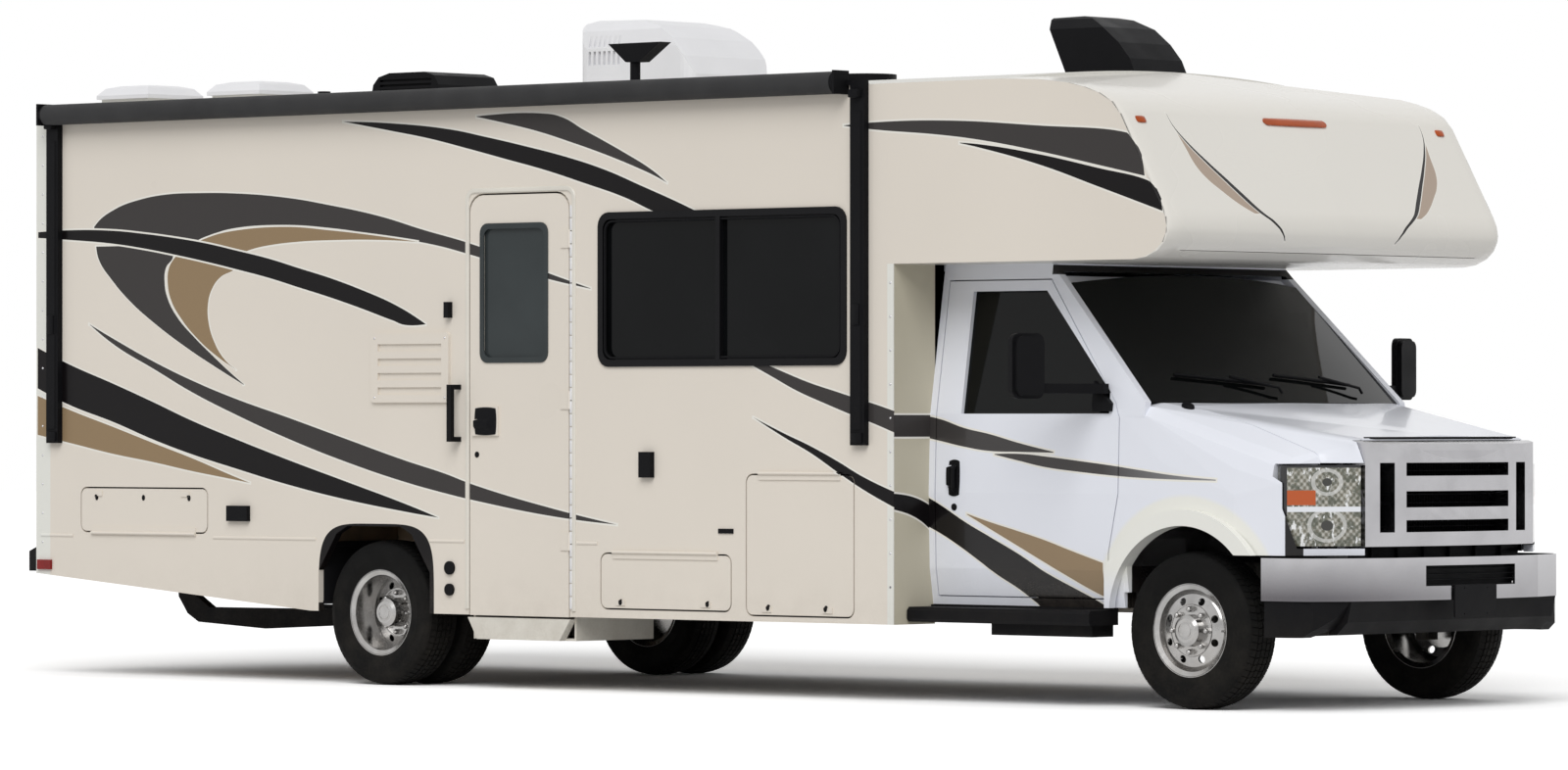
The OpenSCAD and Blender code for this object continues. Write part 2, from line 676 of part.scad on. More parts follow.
module locker_space(b, grow) {
    block([b[0] - grow, -inner_y, b[1] - grow], [b[2] + grow, -inner_y + locker_deep + grow, b[3] + grow]);
}

module coach_floor() color("#8d8778") {
    difference() {
        union() {
            block([coach_rear_x + wall_t, -inner_y, floor_under_z], [coach_front_x - wall_t, inner_y, floor_z]);
            both_sides() wheel_box(12);
        }
        both_sides() translate([0, 0, -12]) wheel_box(0);
        both_sides() block([rx(-wheel_box_half), -inner_y - 1, 0], [rx(wheel_box_half), -wheel_box_y, wheel_box_top]);
        locker_space(hatch_front_box, locker_t + seat_gap);
        block([entry_rear_x - 6, -inner_y - 1, 0], [entry_front_x + 6, -inner_y + well_deep, floor_z + 1]);
    }
}

// Storage boxes behind the hatches
module locker(b) {
    difference() {
        locker_space(b, locker_t);
        translate([0, -1, 0]) locker_space(b, 0);
    }
}

module lockers() color("#9a9a98") {
    locker(hatch_mid_box);
    locker(hatch_front_box);
    mirror([0, 1, 0]) locker(hatch_left_box);
    difference() {
        locker(hatch_rear_box);
        block([coach_rear_x, -inner_y - 1, floor_under_z - 100], [coach_front_x, inner_y, floor_z + seat_gap]);
    }
}

// Step well under the entry door
well_z = 250;
well_t = 12;
module entry_step() color("#d3cfc2") {
    difference() {
        block([entry_rear_x - 5, -inner_y + seat_gap, well_z], [entry_front_x + 5, -inner_y + well_deep - seat_gap, floor_z]);
        block([entry_rear_x + 7, -inner_y - 1, well_z + well_t], [entry_front_x - 7, -inner_y + 300, floor_z + 1]);
        block([entry_rear_x + 7, -inner_y - 1, well_z + 280], [entry_front_x - 7, -inner_y + well_deep - 12, floor_z + 1]);
    }
    slab_y(-side_y - 4, -inner_y + seat_gap) polygon([[entry_rear_x - 5, entry_sill_z - seat_gap - 12], [entry_front_x + 5, entry_sill_z - seat_gap - 12],
        [entry_front_x - 70, well_z], [entry_rear_x + 60, well_z]]);
}

// Window frames and glass
frame_proud = 10;
glass_t = 6;

module frame_on_side(b, divider) {
    slab_y(-side_y - frame_proud, -side_y - seat_gap / 10) difference() {
        polygon(round_rect(b[0] - 14, b[1] - 14, b[2] + 14, b[3] + 14, 70));
        polygon(round_rect(b[0] + window_flange - 14, b[1] + window_flange - 14, b[2] - window_flange + 14, b[3] - window_flange + 14, 50));
    }
    slab_y(-side_y - frame_proud, -side_y + 18) {
        difference() {
            polygon(round_rect(b[0] + 1, b[1] + 1, b[2] - 1, b[3] - 1, 58));
            polygon(round_rect(b[0] + window_flange - 14, b[1] + window_flange - 14, b[2] - window_flange + 14, b[3] - window_flange + 14, 50));
        }
        if (divider > 0) {
            polygon([[divider - 14, b[1] + 5], [divider + 14, b[1] + 5], [divider + 14, b[3] - 5], [divider - 14, b[3] - 5]]);
        }
    }
}

module glass_on_side(b) {
    slab_y(-side_y + 18 + seat_gap, -side_y + 18 + seat_gap + glass_t)
        polygon(round_rect(b[0] + 2, b[1] + 2, b[2] - 2, b[3] - 2, 56));
}

module turned_to_back(b) {
    // A side window's shape carried to the rear wall
    translate([coach_rear_x + side_y, 0, 0]) rotate([0, 0, -90]) children();
}

window_divider_x = window_rear_x + 790;

module window_frames() color("#17181a") {
    frame_on_side(window_box(), window_divider_x);
    mirror([0, 1, 0]) frame_on_side(window_box(), window_divider_x);
    mirror([0, 1, 0]) frame_on_side(rear_window, (rear_window[0] + rear_window[2]) / 2);
    turned_to_back() frame_on_side(back_window, 0);
}

module coach_glass() color("#2c3034") {
    glass_on_side(window_box());
    mirror([0, 1, 0]) glass_on_side(window_box());
    mirror([0, 1, 0]) glass_on_side(rear_window);
    turned_to_back() glass_on_side(back_window);
}

// Entry door, hinged at its front edge
hinge_r = 8;
entry_hinge_x = entry_front_x + 2;
entry_hinge_y = -side_y - hinge_r - seat_gap;

module entry_door() color("#d9d5ca") {
    difference() {
        slab_y(-side_y, -inner_y) entry_shape(door_gap);
        slab_y(-side_y - 1, -inner_y + 1) opening_shape(entry_window, 40);
    }
    for (z = [700, 1400, 2200]) {
        translate([entry_hinge_x, entry_hinge_y, z]) cylinder(r = hinge_r, h = 90, $fn = 32);
        block([entry_front_x - 60, -side_y - 6, z], [entry_hinge_x, -side_y - seat_gap, z + 90]);
        block([entry_front_x - 60, -side_y - 6, z], [entry_front_x - door_gap - 2, -side_y + 2, z + 90]);
    }
    // Latch plate with its pull
    block([entry_rear_x + 32, -side_y - 12, 1267], [entry_rear_x + 211, -side_y + 1, 1415]);
    block([entry_rear_x + 50, -side_y - 22, 1310], [entry_rear_x + 160, -side_y - 11, 1350]);
}

module entry_glass() color("#3c4245") {
    slab_y(-side_y + 10, -side_y + 16) polygon(round_rect(
        entry_window[0] + seat_gap, entry_window[1] + seat_gap, entry_window[2] - seat_gap, entry_window[3] - seat_gap, 40));
    slab_y(-side_y - 6, -side_y - seat_gap) difference() {
        polygon(round_rect(entry_window[0] - 20, entry_window[1] - 20, entry_window[2] + 20, entry_window[3] + 20, 50));
        polygon(round_rect(entry_window[0] + 8, entry_window[1] + 8, entry_window[2] - 8, entry_window[3] - 8, 40));
    }
}

// A hatch door with a hinge barrel along one long edge
module hatch(b, hinge_top) {
    hinge_z = hinge_top ? b[3] + 2 : b[1] - 2;
    leaf_z = hinge_top ? b[3] - 30 : b[1] + 30;
    slab_y(-side_y, -side_y + hatch_t)
        polygon(round_rect(b[0] + door_gap, b[1] + door_gap, b[2] - door_gap, b[3] - door_gap, hatch_r - door_gap));
    rod_x(b[0] + 90, b[2] - 90, -side_y - hinge_r - seat_gap, hinge_z, hinge_r);
    block([b[0] + 90, -side_y - 6, min(hinge_z, leaf_z)], [b[2] - 90, -side_y - seat_gap, max(hinge_z, leaf_z)]);
    block([b[0] + 90, -side_y - 6, hinge_top ? leaf_z : b[1] + door_gap + 2], [b[2] - 90, -side_y + 2, hinge_top ? b[3] - door_gap - 2 : leaf_z]);
    // Latches
    for (x = [b[0] + 140, b[2] - 170]) {
        block([x - 30, -side_y - 6, hinge_top ? b[1] + 22 : b[3] - 48], [x + 30, -side_y + 2, hinge_top ? b[1] + 48 : b[3] - 22]);
    }
}

module hatch_rear() color("#d9d5ca") hatch(hatch_rear_box, false);
module hatch_mid() color("#d9d5ca") hatch(hatch_mid_box, true);
module hatch_front() color("#d9d5ca") hatch(hatch_front_box, true);
module hatch_left() color("#d9d5ca") mirror([0, 1, 0]) hatch(hatch_left_box, true);

// Louvred cover of the refrigerator's outlet
fridge_box = [rx(-7), 1435, rx(546), 1787];
module fridge_vent() color("#d9d5ca") {
    slots = 4;
    pitch = (fridge_box[3] - fridge_box[1] - 60) / slots;
    difference() {
        slab_y(-side_y - 16, -side_y - seat_gap / 3) polygon(round_rect(fridge_box[0], fridge_box[1], fridge_box[2], fridge_box[3], 20));
        for (i = [0:slots - 1]) {
            block([fridge_box[0] + 50, -side_y - 17, fridge_box[1] + 40 + i * pitch], [fridge_box[2] - 50, -side_y - 5, fridge_box[1] + 40 + i * pitch + pitch * 0.5]);
        }
    }
}

// Small fittings on the right side
module side_fittings() color("#17181a") {
    seat = -side_y - seat_gap / 3;
    block([rx(-1057), seat - 26, 824], [rx(-904), seat, 904]);
    rod_y(rx(546), 603, 34, seat - 12, seat);
    rod_y(rx(546), 494, 30, seat - 14, seat);
    block([rx(530), seat - 34, 1860], [rx(560), seat, 1940]);
    block([window_rear_x + 321 - 40, seat - 30, 1064], [window_rear_x + 321 + 40, seat, 1190]);
    block([window_divider_x, seat - 6, 795], [window_divider_x + 97, seat, 818]);
    block([rx(592), seat - 60, 1237], [rx(622), seat, 1262]);
    block([rx(592), seat - 60, 1499], [rx(622), seat, 1524]);
    block([rx(592), seat - 75, 1237], [rx(622), seat - 50, 1524]);
}

// Lamps of the coach
module lamps() color("#7a1a12") {
    seat_rear = coach_rear_x - seat_gap / 3;
    for (s = [-1, 1]) {
        block([seat_rear - 30, s * (inner_y - 90) - 60, 800], [seat_rear, s * (inner_y - 90) + 60, 1160]);
        block([coach_rear_x + 20, s > 0 ? side_y + seat_gap / 3 : -side_y - 14, 556], [coach_rear_x + 125, s > 0 ? side_y + 14 : -side_y - seat_gap / 3, 607]);
    }
    block([seat_rear - 20, -190, 2740], [seat_rear, 190, 2775]);
}

// Awning along the right side
awning_front_x = coach_front_x - 297;
awning_rear_x = coach_rear_x + 132;
awning_r = 52;
awning_z = 2960;
arm_w = 90;
arm_d = 34;
arm_low = 1225;
module awning() color("#161617") {
    tube_y = -side_y - awning_r - 6;
    rod_x(awning_rear_x, awning_front_x, tube_y, awning_z, awning_r);
    for (x = [awning_rear_x - 18, awning_front_x + 50]) {
        block([x, -side_y - arm_d, arm_low], [x + arm_w, -side_y - seat_gap / 3, awning_z + 20]);
    }
    for (x = [awning_rear_x - 14, awning_front_x + 2]) {
        block([x, tube_y - awning_r, awning_z - 56], [x + 12, -side_y - seat_gap / 3, awning_z + 58]);
    }
    block([awning_rear_x, -side_y - 20, awning_z - 12], [awning_front_x + 60, -side_y - seat_gap / 3, awning_z + 12]);
}

// Roof air conditioner
ac_x = rx(904);
ac_l = 792;
ac_w = 620;
ac_top_z = roof_top_z + 372;
module ac_unit() color("#e6e6e8") {
    ac_z = crown_z(ac_w / 2) + seat_gap + 20;
    rear = ac_x - ac_l / 2;
    half = ac_w / 2;
    difference() {
        intersection() {
            slab_y(-half, half) polygon([[rear, ac_z], [rear, ac_top_z - 50], [rear + 14, ac_top_z - 16], [rear + 50, ac_top_z], [rear + ac_l * 0.5, ac_top_z - 8],
                [rear + ac_l * 0.68, ac_top_z - 40], [rear + ac_l * 0.83, ac_top_z - 110], [rear + ac_l * 0.94, ac_top_z - 205], [rear + ac_l, ac_z + 60], [rear + ac_l, ac_z]]);
            slab_x(rear, rear + ac_l) polygon([[-half, ac_z], [-half, ac_top_z - 150], [-half + 22, ac_top_z - 60], [-half + 60, ac_top_z - 20], [-half + 120, ac_top_z],
                [half - 120, ac_top_z], [half - 60, ac_top_z - 20], [half - 22, ac_top_z - 60], [half, ac_top_z - 150], [half, ac_z]]);
            translate([0, 0, ac_z]) linear_extrude(500) polygon(round_rect(rear, -half, rear + ac_l, half, 70));
        }
        // Air slots at the rear of each side
        for (s = [-1, 1], row = [0, 1], i = [0:6]) {
            block([rear + 82 + i * 34, s > 0 ? half - 16 : -half - 1, ac_top_z - 235 + row * 92], [rear + 100 + i * 34, s > 0 ? half + 1 : 16 - half, ac_top_z - 165 + row * 92]);
        }
    }
    translate([rear + 20, -half + 20, roof_top_z + seat_gap]) cube([ac_l - 40, ac_w - 40, 30]);
}

// Black fittings on the roof: fan cover, aerial, front pod
module roof_room() {
    steps = 24;
    slab_x(coach_rear_x - 1, fx(1000)) polygon(concat(
        [for (i = [0:steps]) let (y = side_y - 2 * side_y * i / steps) [y, crown_z(y) + seat_gap]],
        [[-side_y, wall_top_z - 200], [side_y, wall_top_z - 200]]));
}

module roof_fittings() color("#1a1b1d") difference() {
    roof_fitting_forms();
    roof_room();
}

module roof_fitting_forms() {
    // Fan cover with louvres on its sides
    fan_x = rx(-820);
    difference() {
        slab_y(-225, 225) polygon([[fan_x - 260, wall_top_z], [fan_x - 260, roof_top_z + 0.2], [fan_x - 240, roof_top_z + 90], [fan_x - 200, roof_top_z + 130],
            [fan_x - 120, roof_top_z + 150], [fan_x + 140, roof_top_z + 150], [fan_x + 210, roof_top_z + 130], [fan_x + 245, roof_top_z + 80],
            [fan_x + 260, roof_top_z + 0.2], [fan_x + 260, wall_top_z]]);
        for (s = [-1, 1], i = [0:3]) {
            block([fan_x - 190, s > 0 ? 210 : -226, roof_top_z + 26 + i * 26], [fan_x + 190, s > 0 ? 226 : -210, roof_top_z + 38 + i * 26]);
        }
    }
    // Drain vent
    translate([rx(-1250), -400, crown_z(-400) - 20]) cylinder(r = 34, h = 84, $fn = 32);
    // Aerial on its post
    aerial_x = rx(1285);
    translate([aerial_x, -700, crown_z(-700) - 20]) cylinder(r = 70, h = 38, $fn = 32);
    translate([aerial_x, -700, crown_z(-700)]) cylinder(r = 26, h = 150, $fn = 32);
    slab_y(-740, -660) polygon([[aerial_x - 30, crown_z(-700) + 140], [aerial_x - 150, crown_z(-700) + 235], [aerial_x + 210, crown_z(-700) + 235], [aerial_x + 60, crown_z(-700) + 140]]);
    // Air scoop over the cab
    pod_x = fx(-1400);
    intersection() {
        slab_y(-200, 200) polygon([[pod_x, wall_top_z], [pod_x, roof_top_z + 0.2], [pod_x - 130, roof_top_z + 278], [pod_x + 60, roof_top_z + 282], [pod_x + 130, roof_top_z + 270],
            [pod_x + 230, roof_top_z + 222], [pod_x + 330, roof_top_z + 144], [pod_x + 400, roof_top_z + 64], [pod_x + 430, roof_top_z + 0.2], [pod_x + 430, wall_top_z]]);
        slab_x(pod_x - 200, pod_x + 500) polygon([[-200, wall_top_z], [-200, roof_top_z + 220], [-160, roof_top_z + 268], [-110, roof_top_z + 290],
            [110, roof_top_z + 290], [160, roof_top_z + 268], [200, roof_top_z + 220], [200, wall_top_z]]);
    }
    translate([fx(-2870), 0, wall_top_z]) cylinder(r = 155, h = roof_crown + 50, $fn = 48);
}

// Cab

cab_roof_z = bunk_z - seat_gap;
screen_len = (bunk_z - 50 - screen_z) / sin(screen_rake);
screen_top_x = screen_x + (bunk_z - 50 - screen_z) / tan(screen_rake);
cab_wall = 40;
cab_floor_y = cab_y - cab_door_t - 16;
cowl_x = -screen_x + screen_bow + 12;
cowl_top = screen_z - 4;
grille_half = 650;

// Outline across the cab: half widths against height
module cab_section(in) {
    polygon([
        [-cab_y + 35 + in, sill_z + (in > 0 ? -5 : 0)], [-cab_y + 8 + in, 640], [-cab_y + in, 1000], [-cab_y + 12 + in, waist_z], [-cab_y + 125 + in, cab_roof_z - in],
        [cab_y - 125 - in, cab_roof_z - in], [cab_y - 12 - in, waist_z], [cab_y - in, 1000], [cab_y - 8 - in, 640], [cab_y - 35 - in, sill_z + (in > 0 ? -5 : 0)]]);
}

// Side view of the cab door, inset by in
module door_shape(in) {
    polygon([
        [coach_front_x + 43 + in, sill_z + 45 + in], [coach_front_x + 43 + in, cab_roof_z - 80 - in], [fx(-screen_top_x - 40 - in * 0.4), cab_roof_z - 80 - in],
        [fx(-cab_door_front - 30 - in), screen_z + in * 0.4], [fx(-cab_door_front - in), waist_z - 20],
        [fx(-cab_door_front - in), 1000], [fx(-cab_door_front - 64 - in), 720], [fx(-cab_door_front - 64 - in), sill_z + 45 + in]]);
}

module door_window_shape(in) {
    polygon([
        [coach_front_x + 195 + in, waist_z + in], [coach_front_x + 195 + in, cab_roof_z - 130 - in], [fx(-screen_top_x - 60 - in), cab_roof_z - 130 - in],
        [fx(-cab_door_front - 66 - in), screen_z + 50], [fx(-cab_door_front - 60 - in), waist_z + in]]);
}

// Side view of the room that the front fenders fill
module fender_shape() {
    polygon([[fx(-cab_door_front + 6), sill_z], [fx(0), sill_z], [fx(0), fender_low_z], [fx(900), fender_low_z], [fx(900), 1600], [fx(-cab_door_front + 6), 1600]]);
}

module arch_shape(r) {
    translate([fx(0), 423]) circle(r = r, $fn = 96);
    translate([fx(-r), 0]) square([2 * r, 423]);
}

// Half sections across the front: x from the front axle, shares of an inset along X and Y, then half widths against heights
hood_half = 816;
fender_low_z = 722;
lamp_rear = [540, cab_y - 37];
lamp_front = [771, grille_half];
front_stations = [
    [-cab_door_front + 6, 1, 1, [[0, cowl_top], [890, cowl_top], [cab_y - 50, cowl_top - 14], [cab_y - 12, waist_z], [cab_y, 1000], [cab_y - 8, 640], [cab_y - 35, sill_z]]],
    [-235, 0, 1, [[0, cowl_top], [880, cowl_top], [cab_y - 55, cowl_top - 18], [cab_y - 14, waist_z - 14], [cab_y, 1000], [cab_y - 8, 640], [cab_y - 35, sill_z]]],
    [-150, 0, 1, [[0, cowl_top], [750, cowl_top - 26], [900, waist_z - 4], [cab_y - 30, waist_z - 86], [cab_y - 3, 1150], [cab_y - 10, 640], [cab_y - 35, sill_z]]],
    [280, 0, 1, [[0, cowl_top - 76], [690, cowl_top - 102], [840, cowl_top - 136], [cab_y - 70, cowl_top - 211], [cab_y - 20, 1120], [cab_y - 7, 1000], [cab_y - 15, sill_z]]],
    [lamp_rear[0], 0.5, 1, [[0, cowl_top - 134], [640, cowl_top - 158], [790, cowl_top - 191], [900, 1175], [lamp_rear[1] - 18, 1120], [lamp_rear[1], 1050], [lamp_rear[1], sill_z]]],
    [722, 0.8, 0.6, [[0, cowl_top - 152], [606, cowl_top - 166], [680, cowl_top - 191], [711, 1150], [711, sill_z]]],
    [lamp_front[0], 1, 0.6, [[0, 1140], [lamp_front[1], 1135], [lamp_front[1], sill_z]]]
];

function front_half(p, in, share, s, first) = [for (k = [first:len(p) - 1])
    let (i = s > 0 ? k : len(p) - 1 - k + first)
    [s * max(0, p[i][0] - in * share), i < len(p) - 1 ? p[i][1] - in : p[i][1] - (in > 0 ? 5 : 0)]];

// The whole front as one closed form, inset by in
module front_form(in) {
    hull() {
        for (st = front_stations) {
            slab_x(fx(st[0] - in * st[1]) - 0.5, fx(st[0] - in * st[1]))
                polygon(concat(front_half(st[3], in, st[2], 1, 0), front_half(st[3], in, st[2], -1, 1)));
        }
    }
}

// Room for the hood between the fenders
module hood_room(grow) {
    block([fx(cowl_x), -hood_half - grow, 1144], [fx(900), hood_half + grow, 1600]);
}

// Room for a headlamp behind the front of the right fender
module lamp_room() {
    slab_x(fx(485), fx(800)) polygon([[-grille_half - 2, 753], [-grille_half - 2, 1148], [-lamp_rear[1] + 2, 1144], [-lamp_rear[1] + 2, 938], [-lamp_rear[1] + 60, 753]]);
}

lamp_angle = atan2(lamp_front[0] - lamp_rear[0], lamp_rear[1] - lamp_front[1]);
lamp_deep = 56;
// Points along the headlamp's slanted front line, set back by deep
function lamp_point(at, deep) = [fx(at[0] - deep * cos(lamp_angle)), -at[1] + deep * sin(lamp_angle)];
// Where the line at that depth meets a distance from the middle
function lamp_x(y, deep) = fx(lamp_rear[0] + (lamp_rear[1] - y) * tan(lamp_angle) - deep / cos(lamp_angle));

module cab_shell() {
    difference() {
        slab_x(coach_front_x, fx(730)) cab_section(0);
        slab_x(coach_front_x - 1, fx(731)) cab_section(cab_wall);
    }
}

module cab_body() color("#e3e5ea") {
    // Fenders with their wheel arches
    difference() {
        intersection() {
            difference() {
                front_form(0);
                front_form(40);
            }
            slab_y(-cab_y - 1, cab_y + 1) fender_shape();
        }
        slab_y(-cab_y - 2, cab_y + 2) arch_shape(arch_r);
        hood_room(4);
        both_sides() lamp_room();
        block([fx(560), -grille_half - 2, 700], [fx(900), grille_half + 2, 1300]);
    }
    // Inner wings, which carry the hood's edges and the headlamps
    difference() {
        intersection() {
            front_form(30 + seat_gap);
            both_sides() union() {
                translate([0, 0, fender_low_z]) linear_extrude(800) polygon([[fx(-cab_door_front + 6), -hood_half + 1], [lamp_x(hood_half - 1, lamp_deep + seat_gap), -hood_half + 1],
                    [lamp_x(hood_half - 26, lamp_deep + seat_gap), -hood_half + 26], [fx(-cab_door_front + 6), -hood_half + 26]]);
                block([fx(-cab_door_front + 6), -hood_half - 14, 1142], [fx(700), -hood_half + 26, 1600]);
            }
        }
        difference() {
            front_form(60);
            both_sides() block([fx(-500), -hood_half + 1, 0], [fx(900), -hood_half + 26, 2000]);
        }
        slab_y(-hood_half - 15, hood_half + 15) arch_shape(arch_r);
    }
    // Wheel housings
    both_sides() difference() {
        slab_y(-cab_y + cab_wall - 2, -525) intersection() {
            difference() {
                arch_shape(arch_r + 14);
                arch_shape(arch_r);
            }
            union() {
                translate([fx(-500), 500]) square([500, 500]);
                translate([fx(-1), 722]) square([500, 500]);
            }
        }
    }
    both_sides() slab_y(-545, -525) difference() {
        translate([fx(-cab_door_front + 6), rail_top - 60]) square([cab_door_front + 596, 1140 - rail_top]);
        translate([fx(-80), rail_top - 61]) square([160, 80]);
    }
    // Front panel that carries the grille and the lamps
    difference() {
        union() {
            block([fx(600), -grille_half + 10, cab_floor_z], [fx(640), grille_half - 10, cowl_top - 206]);
            both_sides() translate([0, 0, 1149]) linear_extrude(23) polygon([[fx(515), 16 - hood_half], [fx(538), 16 - hood_half], [fx(640), -grille_half - 38], [fx(640), -590], [fx(515), -590]]);
        }
        block([fx(590), -480, 820], [fx(650), 480, 1160]);
    }
    for (s = [-1, 1]) {
        block([fx(440), s * (frame_w / 2 - rail_w / 2) - 30, cab_floor_z], [fx(620), s * (frame_w / 2 - rail_w / 2) + 30, cab_floor_z + 30]);
    }
    // Bulkhead with the engine's tunnel
    difference() {
        union() {
            intersection() {
                slab_x(fx(-cab_door_front + 6), fx(-cab_door_front + 46)) cab_section(6);
                block([fx(-2000), -cab_y, cab_floor_z - 200], [fx(500), cab_y, screen_z - 60]);
            }
            block([fx(-cab_door_front - 340), -engine_w / 2 - 28, cab_floor_z], [fx(-cab_door_front + 20), engine_w / 2 + 28, engine_z1 + 50]);
        }
        block([fx(-cab_door_front - 320), -engine_w / 2 - 10, 0], [fx(0), engine_w / 2 + 10, engine_z1 + 30]);
        both_sides() block([fx(-cab_door_front), -frame_w / 2 - 10, rail_under - 10], [fx(0), 0, rail_top + 10]);
    }
    // Cowl under the windscreen
    block([fx(-cab_door_front + 6), -hood_half, cowl_top - 70], [fx(cowl_x), hood_half, cowl_top - 30]);
    // Floor
    difference() {
        block([coach_front_x - wall_t, -cab_floor_y, cab_floor_z], [fx(-cab_door_front + 20), cab_floor_y, cab_floor_z + 30]);
        block([fx(-cab_door_front - 320), -engine_w / 2 - 10, 0], [fx(0), engine_w / 2 + 10, engine_z1 + 30]);
    }
    // Sills and door frames
    difference() {
        intersection() {
            union() {
                cab_shell();
                difference() {
                    slab_x(coach_front_x, fx(-cab_door_front + 20)) cab_section(cab_door_t + seat_gap);
                    slab_x(coach_front_x - 1, fx(730)) cab_section(cab_door_t + seat_gap + 30);
                }
            }
            slab_y(-cab_y - 1, cab_y + 1) difference() {
                polygon([[coach_front_x, sill_z], [coach_front_x, cab_roof_z], [fx(-screen_top_x - 45), cab_roof_z], [fx(-screen_top_x), cab_roof_z - 50],
                         [fx(-screen_x), screen_z], [fx(-screen_x), screen_z - 70], [fx(-cab_door_front + 20), screen_z - 70], [fx(-cab_door_front + 20), sill_z]]);
                door_shape(70);
            }
        }
        both_sides() slab_y(-cab_y - 2, -cab_y + cab_door_t + 126) intersection() {
            door_shape(-6);
            translate([coach_front_x, sill_z]) square([2000, 2000]);
        }
        screen_room();
    }
    // Inner ring that the doors close against
    both_sides() intersection() {
        difference() {
            slab_x(coach_front_x, fx(-cab_door_front + 6)) cab_section(cab_door_t + seat_gap);
            slab_x(coach_front_x - 1, fx(730)) cab_section(cab_door_t + seat_gap + 30);
            screen_room();
        }
        slab_y(-cab_y, 0) difference() {
            door_shape(-20);
            door_shape(60);
        }
    }
    // Roof
    block([coach_front_x - wall_t, -cab_y + 160, cab_roof_z - 30], [fx(-screen_top_x - 40), cab_y - 160, cab_roof_z]);
    flares();
}

// Room inside the screen pillars for the glass
module screen_room() {
    intersection() {
        slab_x(coach_front_x, fx(0)) cab_section(cab_wall + seat_gap / 2);
        slab_y(-cab_y, cab_y) polygon([[fx(-screen_x - 40), cowl_top], [fx(-screen_top_x - 40), cab_roof_z - 45],
            [fx(0), cab_roof_z - 45], [fx(0), cowl_top]]);
    }
}

// Flares round the front wheel arches
module flares() {
    both_sides() slab_y(-cab_y - 34, -cab_y + 10) intersection() {
        difference() {
            arch_shape(arch_r + 76);
            arch_shape(arch_r);
        }
        translate([fx(-cab_door_front - 54), sill_z]) square([cab_door_front + 54 + 420, 600]);
        union() {
            translate([fx(-600), sill_z]) square([600, 600]);
            translate([fx(-1), 722]) square([600, 600]);
        }
    }
}

module hood() color("#e3e5ea") {
    hinge_line = fx(cowl_x + 5);
    difference() {
        intersection() {
            front_form(0);
            block([hinge_line, -hood_half, 1148], [fx(900), hood_half, 1600]);
        }
        front_form(30);
        block([fx(600), -grille_half - 2, 1100], [fx(900), grille_half + 2, grille_z1 + 2]);
    }
}

module cab_door(side) {
    on_side(side) difference() {
        intersection() {
            slab_x(coach_front_x, fx(0)) cab_section(0);
            slab_y(-cab_y - 1, 0) door_shape(0);
        }
        slab_x(coach_front_x - 1, fx(1)) cab_section(cab_door_t);
        slab_y(-cab_y - 2, 0) door_window_shape(0);
    }
    on_side(side) block([coach_front_x + 125, -cab_y - 16, 1030], [coach_front_x + 155, -cab_y + 4, 1130]);
}
module cab_door_right() color("#e3e5ea") cab_door(right);
module cab_door_left() color("#e3e5ea") cab_door(left);

module door_glass(side) {
    on_side(side) intersection() {
        difference() {
            slab_x(coach_front_x, fx(0)) cab_section(20);
            slab_x(coach_front_x - 1, fx(1)) cab_section(20 + glass_t);
        }
        slab_y(-cab_y - 1, 0) door_window_shape(seat_gap);
    }
}
module door_glass_right() color("#202326") door_glass(right);
module door_glass_left() color("#202326") door_glass(left);

mirror_x = 610;
mirror_out = 1440;
mirror_turn = 11;
mirror_w = 190;
mirror_z = 1445;
mirror_h = 305;
module door_mirror(side) {
    on_side(side) {
        // Head
        translate([fx(-mirror_x), -mirror_out, 0]) rotate([0, 0, -mirror_turn]) {
            slab_x(-8, 20) polygon(round_rect(-mirror_w / 2, mirror_z, mirror_w / 2, mirror_z + mirror_h, 40));
            slab_x(20, 42) polygon(round_rect(-mirror_w / 2 + 14, mirror_z + 14, mirror_w / 2 - 14, mirror_z + mirror_h - 14, 36));
        }
        // Sail on the door's front corner, with its arm
        intersection() {
            slab_y(-cab_y - 6, -cab_y + 90) polygon([[fx(-cab_door_front - 150), waist_z + 10], [fx(-cab_door_front - 40), waist_z + 10],
                [fx(-cab_door_front - 40), screen_z - 6], [fx(-cab_door_front - 150), screen_z + 100]]);
            difference() {
                slab_x(coach_front_x, fx(0)) cab_section(-26);
                slab_x(coach_front_x - 1, fx(1)) cab_section(-seat_gap);
            }
        }
        translate([0, 0, mirror_z + 25]) linear_extrude(46) polygon([
            [fx(-cab_door_front - 60), -cab_y + 10], [fx(-cab_door_front - 60), -cab_y - 30], [fx(-mirror_x + 26), -mirror_out + mirror_w / 2 - 30],
            [fx(-mirror_x + 16), -mirror_out + mirror_w / 2 - 30], [fx(-mirror_x - 30), -mirror_out + mirror_w / 2 + 20], [fx(-cab_door_front - 140), -cab_y - 30], [fx(-cab_door_front - 140), -cab_y + 10]]);
    }
}
module mirror_right() color("#17181a") door_mirror(right);
module mirror_left() color("#17181a") door_mirror(left);

